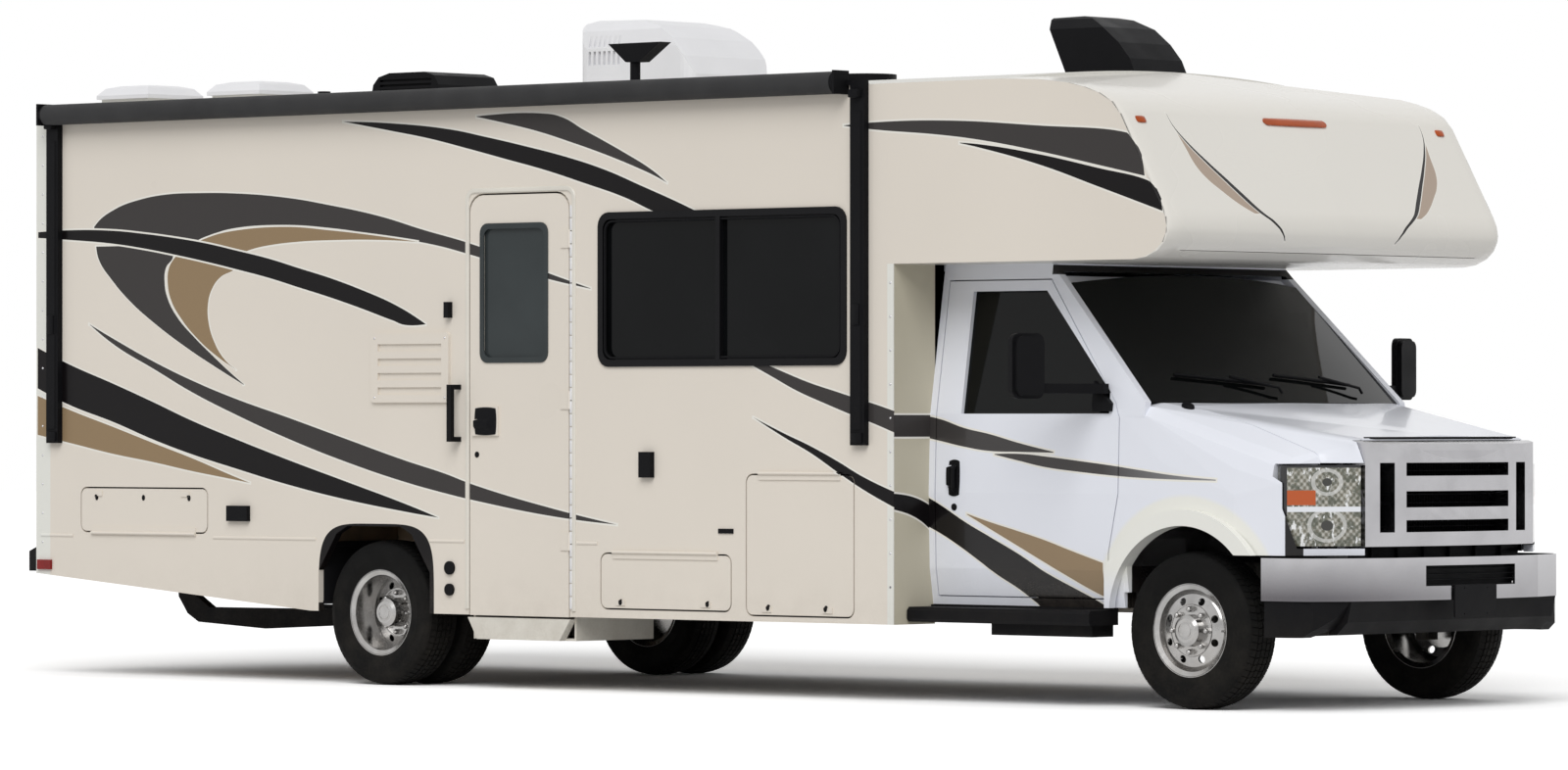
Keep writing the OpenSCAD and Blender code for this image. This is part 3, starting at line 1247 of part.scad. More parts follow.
// Windscreen, bowed in plan and raked back
module windscreen() color("#17191b") {
    half = cab_y - 150;
    bow = screen_bow * sin(screen_rake);
    bow_r = (half * half + bow * bow) / (2 * bow);
    intersection() {
        translate([fx(-screen_x + screen_bow), 0, screen_z]) rotate([0, -(90 - screen_rake), 0]) translate([-bow_r, 0, 0])
            difference() {
                translate([0, 0, -200]) cylinder(r = bow_r, h = screen_len + 200, $fn = 360);
                translate([0, 0, -201]) cylinder(r = bow_r - glass_t, h = screen_len + 202, $fn = 360);
                translate([-2 * bow_r, -bow_r, -202]) cube([2 * bow_r + bow_r * 0.5, 2 * bow_r, screen_len + 204]);
            }
        intersection() {
            slab_x(fx(-2000), fx(0)) cab_section(cab_wall + seat_gap);
            block([fx(-2000), -cab_y, cowl_top + seat_gap], [fx(0), cab_y, cab_roof_z]);
        }
    }
}

// Front end

grille_z0 = 761;
grille_z1 = cowl_top - 176;
grille_bow = 69;
grille_back = 640 + seat_gap;
slot_half = 395;
slot_side = [470, 562];
// Lower and upper edges of the grille's three rows of slots
slot_rows = [[826, 882], [941, 1016], [1087, 1148]];
grille_face = lamp_front[0] + grille_bow;
module grille() color("#b9bcc2") {
    bow_r = (grille_half * grille_half + grille_bow * grille_bow) / (2 * grille_bow);
    difference() {
        intersection() {
            slab_y(-grille_half, grille_half) polygon([[fx(grille_back), grille_z0], [fx(grille_face + 1), grille_z0], [fx(grille_face + 1), grille_z1 - 90],
                [fx(grille_face - 14), grille_z1 - 45], [fx(grille_face - 46), grille_z1 - 14], [fx(grille_face - 96), grille_z1], [fx(grille_back), grille_z1]]);
            translate([fx(grille_face) - bow_r, 0, grille_z0 - 1]) cylinder(r = bow_r, h = grille_z1 - grille_z0 + 2, $fn = 360);
        }
        for (row = slot_rows) {
            block([fx(grille_back + 20), -slot_half, row[0]], [fx(grille_face + 2), slot_half, row[1]]);
        }
        both_sides() block([fx(grille_back + 20), -slot_side[1], slot_rows[0][0]], [fx(grille_face + 2), -slot_side[0], slot_rows[2][1]]);
    }
}

// A headlamp between the grille and the fender, its face slanted back along the front's corner
module headlamps() color("#a8a28c") {
    both_sides() intersection() {
        linear_extrude(2000) polygon([lamp_point(lamp_front, 0), lamp_point(lamp_rear, 0), lamp_point(lamp_rear, lamp_deep), lamp_point(lamp_front, lamp_deep)]);
        slab_x(fx(450), fx(800)) polygon([[-grille_half - 18, 1138], [-lamp_rear[1] + 9, 1136], [-lamp_rear[1] + 9, 941], [-lamp_rear[1] + 65, 765], [-grille_half - 18, 764]]);
    }
}

bumper_z0 = 512;
bumper_z1 = 710;
bumper_t = 14;
module front_bumper() color("#9ea1a7") {
    // Chromed face bar with its wrapped ends and its air slot
    difference() {
        linear_bumper(0, bumper_z0, bumper_z1);
        linear_bumper(bumper_t, bumper_z0 - 1, bumper_z1 + 1);
        block([fx(front_overhang - 200), -345, 577], [fx(front_overhang + 1), 345, 672]);
    }
    // Brackets on the rails
    for (s = [-1, 1]) {
        block([rail_front_x + seat_gap, s * (frame_w / 2 - 30) - 20, 590], [fx(front_overhang - 50), s * (frame_w / 2 - 30) + 20, 690]);
    }
}

// Black valance and plate bracket
plate_w = 320;
plate_h = 150;
plate_z = 505;
plate_hole_x = 177.8;
plate_hole_z = 120.65;
plate_hole_r = 3.5;
valance_z = 355;
module front_trim() color("#1a1a1c") {
    slab_y(-790, 790) polygon([[fx(668), valance_z], [fx(712), valance_z], [fx(775), valance_z + 60], [fx(800), bumper_z0 - seat_gap], [fx(668), bumper_z0 - seat_gap]]);
    // Aprons under the bumper's ends
    both_sides() intersection() {
        translate([0, 0, 300]) linear_extrude(400) polygon([
            [fx(432), -971], [fx(600), -971], [fx(690), -936], [fx(790), -786], [fx(700), -786], [fx(640), -890], [fx(580), -921], [fx(432), -921]]);
        slab_y(-1000, 0) polygon([[fx(432), valance_z - 12], [fx(640), valance_z - 10], [fx(700), valance_z + 30], [fx(750), valance_z + 80], [fx(792), bumper_z0 - seat_gap], [fx(432), bumper_z0 - seat_gap]]);
    }
    difference() {
        block([fx(front_overhang - 9.7), -plate_w / 2, plate_z - plate_h / 2], [fx(front_overhang), plate_w / 2, plate_z + plate_h / 2]);
        for (sy = [-1, 1], sz = [-1, 1]) {
            rod_x(fx(front_overhang - 20), fx(front_overhang + 1), sy * plate_hole_x / 2, plate_z + sz * plate_hole_z / 2, plate_hole_r);
        }
    }
}

// Plan of the bumper's right half: x back from its foremost place, distance from the middle, shares of an inset along X and Y
bumper_plan = [[490, 980, 0, 1], [310, 980, 0, 1], [230, 955, 0.3, 0.95], [205, 925, 0.6, 0.8], [120, 810, 0.8, 0.6], [45, 560, 0.95, 0.3], [15, 300, 1, 0.1]];
module linear_bumper(in, z0, z1) {
    face = front_overhang - 10;
    translate([0, 0, z0]) linear_extrude(z1 - z0) polygon(concat(
        [for (p = bumper_plan) [fx(face - p[0] - in * p[2]), -p[1] + in * p[3]]],
        [[fx(face - in), -120], [fx(face - in), 120]],
        [for (i = [len(bumper_plan) - 1:-1:0]) let (p = bumper_plan[i]) [fx(face - p[0] - in * p[2]), p[1] - in * p[3]]]));
}

module running_boards() color("#1a1a1c") {
    both_sides() {
        slab_x(coach_front_x + 6, fx(-arch_r - 10)) polygon([[-1170, 385], [-1180, 400], [-1180, 440], [-1165, 456], [-cab_y + 10, 456],
            [-cab_y + 10, sill_z - seat_gap], [-cab_y + 50, sill_z - seat_gap], [-cab_y + 50, 385]]);
        block([fx(-1090), -1120, 330], [fx(-arch_r - 40), -cab_y + 50, 386]);
    }
}

// Cab interior: seats, dashboard
seat_x = 1190;
seat_y = 600;
module cab_seat(y) {
    block([fx(-seat_x), y - 220, cab_floor_z + 30 + seat_gap], [fx(-seat_x + 420), y + 220, cab_floor_z + 240]);
    block([fx(-seat_x - 40), y - 250, cab_floor_z + 239], [fx(-seat_x + 460), y + 250, cab_floor_z + 360]);
    slab_y(y - 250, y + 250) polygon([[fx(-seat_x - 40), cab_floor_z + 359], [fx(-seat_x + 80), cab_floor_z + 359], [fx(-seat_x - 50), cab_floor_z + 980], [fx(-seat_x - 150), cab_floor_z + 980]]);
    block([fx(-seat_x - 150), y - 120, cab_floor_z + 979], [fx(-seat_x - 60), y + 120, cab_floor_z + 1140]);
}

module cab_interior() color("#3b3a38") {
    cab_seat(-seat_y);
    cab_seat(seat_y);
    slab_y(-cab_y + 120, cab_y - 120) polygon([[fx(-cab_door_front + 6 - seat_gap), 1230], [fx(-cab_door_front + 6 - seat_gap), screen_z - 70], [fx(-cab_door_front - 120), screen_z - 60], [fx(-cab_door_front - 170), 1330], [fx(-cab_door_front - 150), 1230]]);
    rod_column(wheel_hub + seat_gap, 260, 40);
}

wheel_at = [-cab_door_front - 310, seat_y, 1385];
wheel_tilt = 50;
wheel_hub = 40;
module rod_column(near, far, r) {
    translate([fx(wheel_at[0]), wheel_at[1], wheel_at[2]]) rotate([0, -wheel_tilt, 0]) translate([0, 0, -far]) cylinder(r = r, h = far - near, $fn = 32);
}

module steering_wheel() color("#202022") {
    translate([fx(wheel_at[0]), wheel_at[1], wheel_at[2]]) rotate([0, -wheel_tilt, 0]) {
        rotate_extrude($fn = 64) translate([185, 0]) circle(r = 14, $fn = 24);
        translate([0, 0, -wheel_hub]) cylinder(r = 45, h = wheel_hub + 10, $fn = 32);
        for (a = [0, 120, 240]) {
            rotate([0, 0, a]) translate([0, -15, -12]) cube([180, 30, 14]);
        }
    }
}

chassis_frame();
engine_block();
underbody();
front_axle();
knuckle_right();
knuckle_left();
rim_front_right();
rim_front_left();
tyre_front_right();
tyre_front_left();
rear_axle();
rims_rear_right();
rims_rear_left();
tyres_rear_right();
tyres_rear_left();
coach_floor();
lockers();
right_wall();
left_wall();
end_walls();
coach_roof();
front_cap();
window_frames();
coach_glass();
entry_door();
entry_glass();
entry_step();
hatch_rear();
hatch_mid();
hatch_front();
hatch_left();
fridge_vent();
side_fittings();
lamps();
awning();
ac_unit();
vent_lid_rear();
vent_lid_front();
roof_fittings();
cab_body();
hood();
cab_door_right();
cab_door_left();
door_glass_right();
door_glass_left();
mirror_right();
mirror_left();
windscreen();
grille();
headlamps();
front_bumper();
front_trim();
running_boards();
cab_interior();
steering_wheel();
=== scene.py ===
import math
import bmesh
import bpy
from mathutils import Matrix, Vector


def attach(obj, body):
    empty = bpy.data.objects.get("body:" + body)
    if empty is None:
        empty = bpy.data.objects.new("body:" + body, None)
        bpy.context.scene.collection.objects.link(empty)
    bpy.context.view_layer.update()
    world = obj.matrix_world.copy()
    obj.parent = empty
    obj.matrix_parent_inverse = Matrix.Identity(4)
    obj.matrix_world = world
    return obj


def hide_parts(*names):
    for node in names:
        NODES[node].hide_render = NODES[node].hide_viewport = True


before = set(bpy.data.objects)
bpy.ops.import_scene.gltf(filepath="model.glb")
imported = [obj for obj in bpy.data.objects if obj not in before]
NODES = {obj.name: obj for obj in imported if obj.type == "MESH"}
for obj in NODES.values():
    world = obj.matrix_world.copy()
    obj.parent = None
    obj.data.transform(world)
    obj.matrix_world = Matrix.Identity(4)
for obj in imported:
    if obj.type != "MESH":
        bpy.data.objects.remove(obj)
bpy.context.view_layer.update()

# Wheel centres, tyre radius and the coach's right and left faces, in metres
FRONT_X, REAR_X, AXLE_Z = 3.4, -1.68, 0.368
FRONT_Y, REAR_OUTER_Y, REAR_INNER_Y = 0.8815, 1.1235, 0.8525
TYRE_R = 0.368
SIDE_Y = 1.27
END_WALL_X = 1.80
SIDES = ((-1, "right"), (1, "left"))


# Node helpers
class Wiring:
    """Adds nodes to a tree and joins their sockets."""

    def __init__(self, tree):
        self.tree = tree

    def add(self, kind, **settings):
        node = self.tree.nodes.new(kind)
        for key, value in settings.items():
            setattr(node, key, value)
        return node

    def feed(self, socket, value):
        if isinstance(value, bpy.types.NodeSocket):
            self.tree.links.new(value, socket)
        else:
            socket.default_value = value

    def join(self, node, inputs):
        """Joins or sets a node's inputs, which are given by name or by place."""
        for key, value in inputs.items():
            self.feed(node.inputs[key], value)
        return node.outputs

    def wire(self, kind, inputs, **settings):
        """Adds a joined node and gives back its first output."""
        return self.join(self.add(kind, **settings), inputs)[0]

    def use(self, group, inputs):
        """Adds a joined shader group and gives back its outputs."""
        return self.join(self.add("ShaderNodeGroup", node_tree=group), inputs)

    def calc(self, operation, *values, clamp=False):
        return self.wire("ShaderNodeMath", dict(enumerate(values)), operation=operation, use_clamp=clamp)

    def times(self, *values, clamp=False):
        return self.calc("MULTIPLY", *values, clamp=clamp)

    def plus(self, *values, clamp=False):
        return self.calc("ADD", *values, clamp=clamp)

    def minus(self, a, b):
        return self.calc("SUBTRACT", a, b)

    def above(self, value, limit):
        return self.calc("GREATER_THAN", value, limit)

    def below(self, value, limit):
        return self.calc("LESS_THAN", value, limit)

    def size(self, value):
        return self.calc("ABSOLUTE", value)

    def most(self, a, b):
        return self.calc("MAXIMUM", a, b)

    def least(self, a, b):
        return self.calc("MINIMUM", a, b)

    def between(self, value, middle, reach):
        """1 where a value is nearer to the middle than the reach."""
        return self.below(self.size(self.minus(value, middle)), reach)

    def distance(self, a, b, middle_a, middle_b):
        """How far the point (a, b) is from a middle point."""
        squares = (self.calc("POWER", self.minus(v, m), 2.0) for v, m in ((a, middle_a), (b, middle_b)))
        return self.calc("SQRT", self.plus(*squares))

    def ramp(self, value, low, high, out_low=0.0, out_high=1.0, kind="LINEAR"):
        values = (value, low, high, out_low, out_high)
        return self.wire("ShaderNodeMapRange", dict(enumerate(values)), interpolation_type=kind)

    def mix(self, factor, a, b, how="MIX"):
        colours = [(*c, 1) if isinstance(c, tuple) else c for c in (a, b)]
        node = self.add("ShaderNodeMix", data_type="RGBA", blend_type=how)
        return self.join(node, {0: factor, 6: colours[0], 7: colours[1]})[2]

    def place(self):
        return self.add("ShaderNodeTexCoord").outputs["Object"]

    def axes(self):
        return tuple(self.join(self.add("ShaderNodeSeparateXYZ"), {0: self.place()}))

    def noise(self, place, scale, detail=3.0, rough=0.5, stretch=None):
        if stretch:
            place = self.wire("ShaderNodeMapping", {0: place, "Scale": stretch})
        inputs = {"Vector": place, "Scale": scale, "Detail": detail, "Roughness": rough}
        return self.wire("ShaderNodeTexNoise", inputs)


def shader_group(name, inputs, outputs):
    group = bpy.data.node_groups.new(name, "ShaderNodeTree")
    for label, kind, value in inputs:
        socket = group.interface.new_socket(name=label, in_out="INPUT", socket_type=kind)
        socket.default_value = value
    for label, kind in outputs:
        group.interface.new_socket(name=label, in_out="OUTPUT", socket_type=kind)
    wiring = Wiring(group)
    return group, wiring, wiring.add("NodeGroupInput").outputs, wiring.add("NodeGroupOutput")


COLOUR, NUMBER = "NodeSocketColor", "NodeSocketFloat"


def grain_group():
    """Fine grain for a bump, and slow changes of roughness and shade."""
    group, w, given, out = shader_group("surface_grain", [
        ("Grain Scale", NUMBER, 300.0), ("Patch Scale", NUMBER, 2.0), ("Smooth", NUMBER, 0.3),
        ("Rough", NUMBER, 0.5)], [("Roughness", NUMBER), ("Height", NUMBER), ("Shade", NUMBER)])
    place = w.place()
    slow = w.noise(place, given["Patch Scale"], 3, 0.55)
    w.join(out, {"Roughness": w.ramp(slow, 0.3, 0.7, given["Smooth"], given["Rough"]),
                 "Height": w.noise(place, given["Grain Scale"], 4, 0.6), "Shade": w.ramp(slow, 0.25, 0.75)})
    return group


def dust_group():
    """Road dust that thins out with height."""
    group, w, given, out = shader_group(
        "road_dust", [("Dust Top", NUMBER, 0.9), ("Amount", NUMBER, 0.4)], [("Dust", NUMBER)])
    place, z = w.place(), w.axes()[2]
    height = w.ramp(z, given["Dust Top"], 0.1, kind="SMOOTHSTEP")
    cloud = w.ramp(w.noise(place, 7.0, 5, 0.65), 0.35, 0.7)
    speck = w.ramp(w.noise(place, 70.0, 3, 0.6), 0.4, 0.75)
    body = w.times(height, w.plus(w.times(cloud, 0.7), w.times(speck, 0.3)))
    w.feed(out.inputs["Dust"], w.times(body, given["Amount"], clamp=True))
    return group


# Black of the printed bands, also used as painted shade in the rear arch and over the windscreen
INK_AND_SHADE = (0.0055, 0.0045, 0.005)
GREY = (0.047, 0.043, 0.042)
TAN = (0.29, 0.205, 0.118)
PALE = (0.83, 0.81, 0.75)


def band(w, along, across, upper, lower):
    """How far a point is inside the band between two curves, in metres."""
    values = [p[1] for p in upper + lower]
    low, high = min(values), max(values)

    def edge(points):
        start, end = points[0][0], points[-1][0]
        node = w.add("ShaderNodeFloatCurve")
        curve = node.mapping.curves[0]
        spots = [((a - start) / (end - start), (b - low) / (high - low)) for a, b in points]
        curve.points[0].location = spots[0]
        curve.points[1].location = spots[-1]
        for spot in spots[1:-1]:
            curve.points.new(*spot)
        node.mapping.update()
        w.feed(node.inputs["Value"], w.ramp(along, start, end))
        return w.calc("MULTIPLY_ADD", node.outputs[0], high - low, low)

    start = min(upper[0][0], lower[0][0])
    end = max(upper[-1][0], lower[-1][0])
    inside = w.least(w.minus(edge(upper), across), w.minus(across, edge(lower)))
    ends = w.least(w.minus(along, start), w.minus(end, along))
    return w.least(inside, ends)


def paint_bands(w, colour, bands, where, rim=0.009):
    """Lays each band over the colour, with a thin pale line round it."""
    for depth, ink in bands:
        line = w.times(w.above(depth, -rim), where)
        fill = w.times(w.above(depth, 0.0), where)
        colour = w.mix(line, colour, PALE)
        colour = w.mix(fill, colour, ink)
    return colour


def paint_group(name, paint_over):
    """A shader group that paints over a colour."""
    group, w, given, out = shader_group(name, [("Paint", COLOUR, (1, 1, 1, 1))], [("Colour", COLOUR)])
    w.feed(out.inputs["Colour"], paint_over(w, given["Paint"]))
    return group


def side_bands(w, colour):
    """The painted bands of the coach sides, and painted shade in the rear arch."""
    x, y, z = w.axes()
    outer = w.above(w.size(y), SIDE_Y - 0.006)

    def across_x(upper, lower):
        return band(w, x, z, upper, lower)

    def across_z(right, left):
        return band(w, z, x, *(sorted((b, a) for a, b in points) for points in (right, left)))

    def paired(*stations):
        return across_x([(a, top) for a, top, _ in stations], [(a, foot) for a, _, foot in stations])

    crescent_over = across_x(
        [(-3.769, 2.365), (-3.633, 2.445), (-3.445, 2.496), (-3.205, 2.524), (-2.968, 2.526),
         (-2.688, 2.518), (-2.339, 2.491), (-1.994, 2.443), (-1.654, 2.384), (-1.321, 2.305),
         (-1.012, 2.236), (-0.466, 2.08), (-0.163, 1.997)],
        [(-3.769, 2.31), (-2.968, 2.28), (-2.9, 2.3), (-2.688, 2.34), (-2.339, 2.349), (-1.994, 2.327),
         (-1.654, 2.286), (-1.254, 2.23), (-1.012, 2.18), (-0.466, 2.05), (-0.163, 1.995)])
    crescent_under = across_z(
        [(-3.168, 2.26), (-3.168, 2.19), (-3.216, 2.144), (-3.228, 2.062), (-3.205, 1.98), (-3.131, 1.881),
         (-3.012, 1.783), (-2.872, 1.685), (-2.732, 1.592), (-2.63, 1.53)],
        [(-3.754, 2.26), (-3.728, 2.183), (-3.633, 2.083), (-3.49, 1.967), (-3.302, 1.85), (-3.064, 1.724),
         (-2.872, 1.634), (-2.637, 1.53)])
    tan_over = across_x(
        [(-3.005, 2.254), (-2.924, 2.288), (-2.688, 2.327), (-2.339, 2.339), (-1.994, 2.315),
         (-1.654, 2.281), (-1.366, 2.246)],
        [(-3.005, 2.15), (-2.7, 2.19), (-2.594, 2.223), (-2.455, 2.245), (-2.224, 2.261), (-1.994, 2.265),
         (-1.654, 2.261), (-1.366, 2.246)])
    tan_under = across_z(
        [(-2.60, 2.2), (-2.62, 2.17), (-2.71, 2.121), (-2.806, 2.087), (-2.872, 2.024), (-2.901, 1.945),
         (-2.894, 1.846), (-2.85, 1.746), (-2.78, 1.664), (-2.688, 1.607)],
        [(-3.14, 2.2), (-3.161, 2.184), (-3.198, 2.134), (-3.205, 2.062), (-3.183, 1.979), (-3.109, 1.881),
         (-2.983, 1.772), (-2.828, 1.674), (-2.688, 1.607)])
    line = across_x(
        [(-4.206, 2.344), (-3.952, 2.35), (-3.633, 2.342), (-3.392, 2.322), (-3.161, 2.297),
         (-2.924, 2.265), (-2.688, 2.223), (-2.455, 2.179), (-2.224, 2.125), (-1.994, 2.071),
         (-1.767, 2.008), (-1.541, 1.935), (-1.31, 1.831)],
        [(-4.206, 2.313), (-3.952, 2.298), (-3.633, 2.274), (-3.392, 2.245), (-3.161, 2.21),
         (-2.924, 2.17), (-2.688, 2.126), (-2.455, 2.08), (-2.224, 2.026), (-1.994, 1.972),
         (-1.767, 1.913), (-1.541, 1.85), (-1.443, 1.826), (-1.31, 1.829)])
    long_black = paired(
        (-4.21, 1.73, 1.515), (-3.96, 1.64, 1.426), (-3.61, 1.534, 1.333), (-3.317, 1.441, 1.245),
        (-3.02, 1.343, 1.168), (-2.703, 1.251, 1.098), (-2.296, 1.14, 1.013), (-1.873, 1.031, 0.94),
        (-1.457, 0.923, 0.883), (-1.22, 0.855, 0.855))
    wedge = paired(
        (-4.21, 1.475, 1.268), (-3.96, 1.4, 1.226), (-3.61, 1.307, 1.167), (-3.317, 1.227, 1.127),
        (-3.02, 1.148, 1.081), (-2.729, 1.062, 1.042), (-2.586, 1.022, 1.022))
    long_grey = paired(
        (-3.807, 1.852, 1.852), (-3.58, 1.757, 1.725), (-3.317, 1.654, 1.616), (-3.02, 1.552, 1.491),
        (-2.703, 1.459, 1.378), (-2.296, 1.357, 1.248), (-1.873, 1.248, 1.131), (-1.457, 1.142, 1.033),
        (-1.178, 1.078, 0.979), (-0.964, 1.02, 0.943), (-0.391, 0.901, 0.865), (0.017, 0.831, 0.831))
    swoosh_black = across_x(
        [(-1.902, 2.868), (-1.569, 2.851), (-1.15, 2.81), (-0.881, 2.763), (-0.608, 2.71), (-0.344, 2.654),
         (-0.076, 2.584), (0.183, 2.496), (0.445, 2.404), (0.615, 2.338)],
        [(-1.902, 2.868), (-1.569, 2.814), (-1.289, 2.767), (-1.019, 2.71), (-0.744, 2.649),
         (-0.476, 2.589), (-0.21, 2.519), (0.057, 2.445), (0.235, 2.379), (0.45, 2.3), (0.615, 2.25)])
    swoosh_grey = across_x(
        [(-0.95, 2.869), (-0.452, 2.867), (-0.371, 2.852), (-0.21, 2.782), (-0.076, 2.725), (0.08, 2.656),
         (0.235, 2.582), (0.354, 2.507)],
        [(-0.95, 2.866), (-0.744, 2.828), (-0.527, 2.783), (-0.29, 2.721), (-0.076, 2.66), (0.13, 2.594),
         (0.262, 2.547), (0.354, 2.507)])
    low_grey = across_x(
        [(0.893, 1.66), (1.002, 1.618), (1.124, 1.577), (1.295, 1.524), (1.466, 1.481), (1.573, 1.454),
         (1.698, 1.424), (1.84, 1.386)],
        [(0.893, 1.621), (1.041, 1.558), (1.21, 1.486), (1.378, 1.429), (1.573, 1.367), (1.698, 1.33),
         (1.84, 1.283)])
    low_black = paired(
        (0.925, 1.359, 1.359), (1.124, 1.282, 1.263), (1.295, 1.221, 1.188), (1.466, 1.15, 1.098),
        (1.632, 1.075, 1.014), (1.84, 1.001, 0.926))
    bunk_grey = across_x(
        [(1.51, 2.757), (1.692, 2.766), (2.119, 2.764), (2.726, 2.724), (3.25, 2.679), (3.28, 2.66),
         (3.367, 2.474)],
        [(1.51, 2.755), (1.692, 2.733), (2.119, 2.696), (2.364, 2.666), (2.726, 2.604), (3.084, 2.532),
         (3.367, 2.474)])
    bunk_black = across_x(
        [(2.242, 2.656), (2.364, 2.645), (2.726, 2.59), (3.084, 2.518), (3.38, 2.455), (3.408, 2.44),
         (3.472, 2.315)],
        [(2.242, 2.653), (2.364, 2.629), (2.726, 2.542), (3.084, 2.432), (3.472, 2.31)])
    colour = paint_bands(w, colour, [
        (crescent_over, GREY), (crescent_under, GREY), (tan_over, TAN), (tan_under, TAN), (line, INK_AND_SHADE),
        (wedge, TAN), (long_black, INK_AND_SHADE), (long_grey, GREY), (swoosh_black, INK_AND_SHADE), (swoosh_grey, GREY),
        (low_grey, GREY), (low_black, INK_AND_SHADE), (bunk_grey, GREY), (bunk_black, INK_AND_SHADE)], outer)
    # Painted shade: the wall inside the rear arch's curve is painted black, as the dark of the wheel well, so
    # the arch reads as a rounded opening
    arch_x, arch_half, arch_foot, arch_rise, roundness = -1.665, 0.415, 0.4, 0.42, 4.5
    across = w.calc("POWER", w.calc("DIVIDE", w.size(w.minus(x, arch_x)), arch_half), roundness)
    over = w.calc("POWER", w.calc("DIVIDE", w.most(w.minus(z, arch_foot), 0.0), arch_rise), roundness)
    colour = w.mix(w.below(w.plus(across, over), 1.0), colour, INK_AND_SHADE)
    # The two low bands run on over the front end wall
    side = w.size(y)
    end_face = w.times(w.above(x, END_WALL_X), w.below(side, SIDE_Y - 0.004))
    end_face = w.times(end_face, w.below(z, 1.9))
    grey_top, grey_foot = 1.37, 1.266
    grey_end = w.least(w.minus(grey_top, z), w.minus(z, grey_foot))
    black_end = band(w, side, z, [(1.0, 0.935), (1.109, 0.974), (1.27, 0.996)],
                     [(1.0, 0.82), (1.109, 0.88), (1.27, 0.92)])
    colour = paint_bands(w, colour, [(grey_end, GREY), (black_end, INK_AND_SHADE)], end_face)
    return colour


def cab_bands(w, colour):
    """The painted bands of the cab sides, the cream arch lips, and painted shade over the windscreen."""
    x, y, z = w.axes()
    lamp_x, door_y = 3.62, 0.9
    outer = w.times(w.above(w.size(y), door_y), w.below(x, lamp_x))
    lip_z, lip_outer, lip_inner = 0.45, 0.56, 0.53
    from_arch = w.distance(x, z, FRONT_X, lip_z)
    lip = w.times(w.ramp(from_arch, lip_outer, lip_inner, kind="SMOOTHSTEP"), w.ramp(z, 0.5, 0.65))
    colour = w.mix(w.times(lip, 0.75), colour, (0.84, 0.83, 0.74))
    black = band(w, x, z,
                 [(1.8, 0.985), (1.9, 0.94), (2.052, 0.861), (2.205, 0.792), (2.387, 0.71), (2.565, 0.619),
                  (2.736, 0.546), (2.85, 0.497), (2.92, 0.46)],
                 [(1.8, 0.845), (1.9, 0.803), (2.019, 0.743), (2.141, 0.674), (2.259, 0.605),
                  (2.373, 0.546), (2.474, 0.482), (2.52, 0.45), (2.92, 0.43)])
    tan = band(w, x, z,
               [(2.065, 0.9), (2.206, 0.862), (2.358, 0.826), (2.546, 0.779), (2.69, 0.736), (2.9, 0.676)],
               [(2.065, 0.896), (2.205, 0.83), (2.357, 0.76), (2.508, 0.69), (2.656, 0.622), (2.81, 0.551),
                (2.9, 0.515)])
    upper = band(w, x, z,
                 [(1.8, 1.366), (1.891, 1.35), (2.047, 1.307), (2.201, 1.279), (2.386, 1.237),
                  (2.599, 1.196)],
                 [(1.8, 1.263), (1.894, 1.246), (2.049, 1.218), (2.203, 1.199), (2.387, 1.195),
                  (2.599, 1.192)])
    lower = band(w, x, z,
                 [(2.234, 1.185), (2.387, 1.186), (2.569, 1.172), (2.751, 1.154), (2.961, 1.132),
                  (3.11, 1.114), (3.346, 1.087), (3.576, 1.07)],
                 [(2.234, 1.182), (2.388, 1.153), (2.571, 1.121), (2.752, 1.103), (2.962, 1.086),
                  (3.111, 1.077), (3.346, 1.069), (3.576, 1.065)])
    fade = w.mix(w.ramp(x, 2.9, 3.5), GREY, (0.25, 0.25, 0.26))
    colour = paint_bands(w, colour, [(tan, TAN), (black, INK_AND_SHADE), (upper, GREY), (lower, fade)], outer)
    # Black in the wheel house and under the floor, and painted shade over the windscreen
    house_half, house_y, house_top, floor_z = 0.6, 0.965, 0.95, 0.4665
    screen_x, screen_top = 2.5, 2.036
    house = w.times(w.between(x, FRONT_X, house_half), w.below(w.size(y), house_y))
    house = w.times(house, w.below(z, house_top))
    # Painted shade: the cab body above the windscreen's top is painted black
    painted_header_shade = w.times(w.above(z, screen_top), w.above(x, screen_x))
    hidden = w.most(house, w.below(z, floor_z))
    colour = w.mix(w.most(hidden, painted_header_shade), colour, INK_AND_SHADE)
    return colour


def cap_bands(w, colour):
    """The two thin bow lines on the front cap, each with a tan sliver outside it."""
    x, y, z = w.axes()
    side = w.size(y)
    face = w.times(w.below(side, SIDE_Y - 0.02), w.above(x, 3.1))
    line = band(w, z, side,
                [(2.185, 0.425), (2.253, 0.5), (2.33, 0.625), (2.39, 0.69), (2.47, 0.768), (2.55, 0.845),
                 (2.65, 0.928), (2.72, 0.965), (2.775, 0.972)],
                [(2.185, 0.42), (2.253, 0.478), (2.33, 0.594), (2.39, 0.656), (2.47, 0.738), (2.55, 0.822),
                 (2.65, 0.915), (2.72, 0.96), (2.775, 0.97)])
    sliver = band(w, z, side,
                  [(2.31, 0.64), (2.35, 0.725), (2.42, 0.825), (2.47, 0.885), (2.53, 0.925), (2.62, 0.943),
                   (2.7, 0.96)],
                  [(2.31, 0.60), (2.35, 0.645), (2.42, 0.72), (2.47, 0.768), (2.53, 0.825), (2.62, 0.9),
                   (2.7, 0.955)])
    colour = paint_bands(w, colour, [(sliver, (0.42, 0.33, 0.26)),
                                                     (line, INK_AND_SHADE)], face, rim=0.007)
    return colour


GRAIN = grain_group()
DUST = dust_group()
SIDE_BANDS = paint_group("side_bands", side_bands)
CAB_BANDS = paint_group("cab_bands", cab_bands)
CAP_BANDS = paint_group("cap_bands", cap_bands)
DIRT = (0.34, 0.29, 0.23)
SOCKETS = {"gloss": "Specular IOR Level", "coat": "Coat Weight", "coat_rough": "Coat Roughness",
           "clear": "Transmission Weight"}


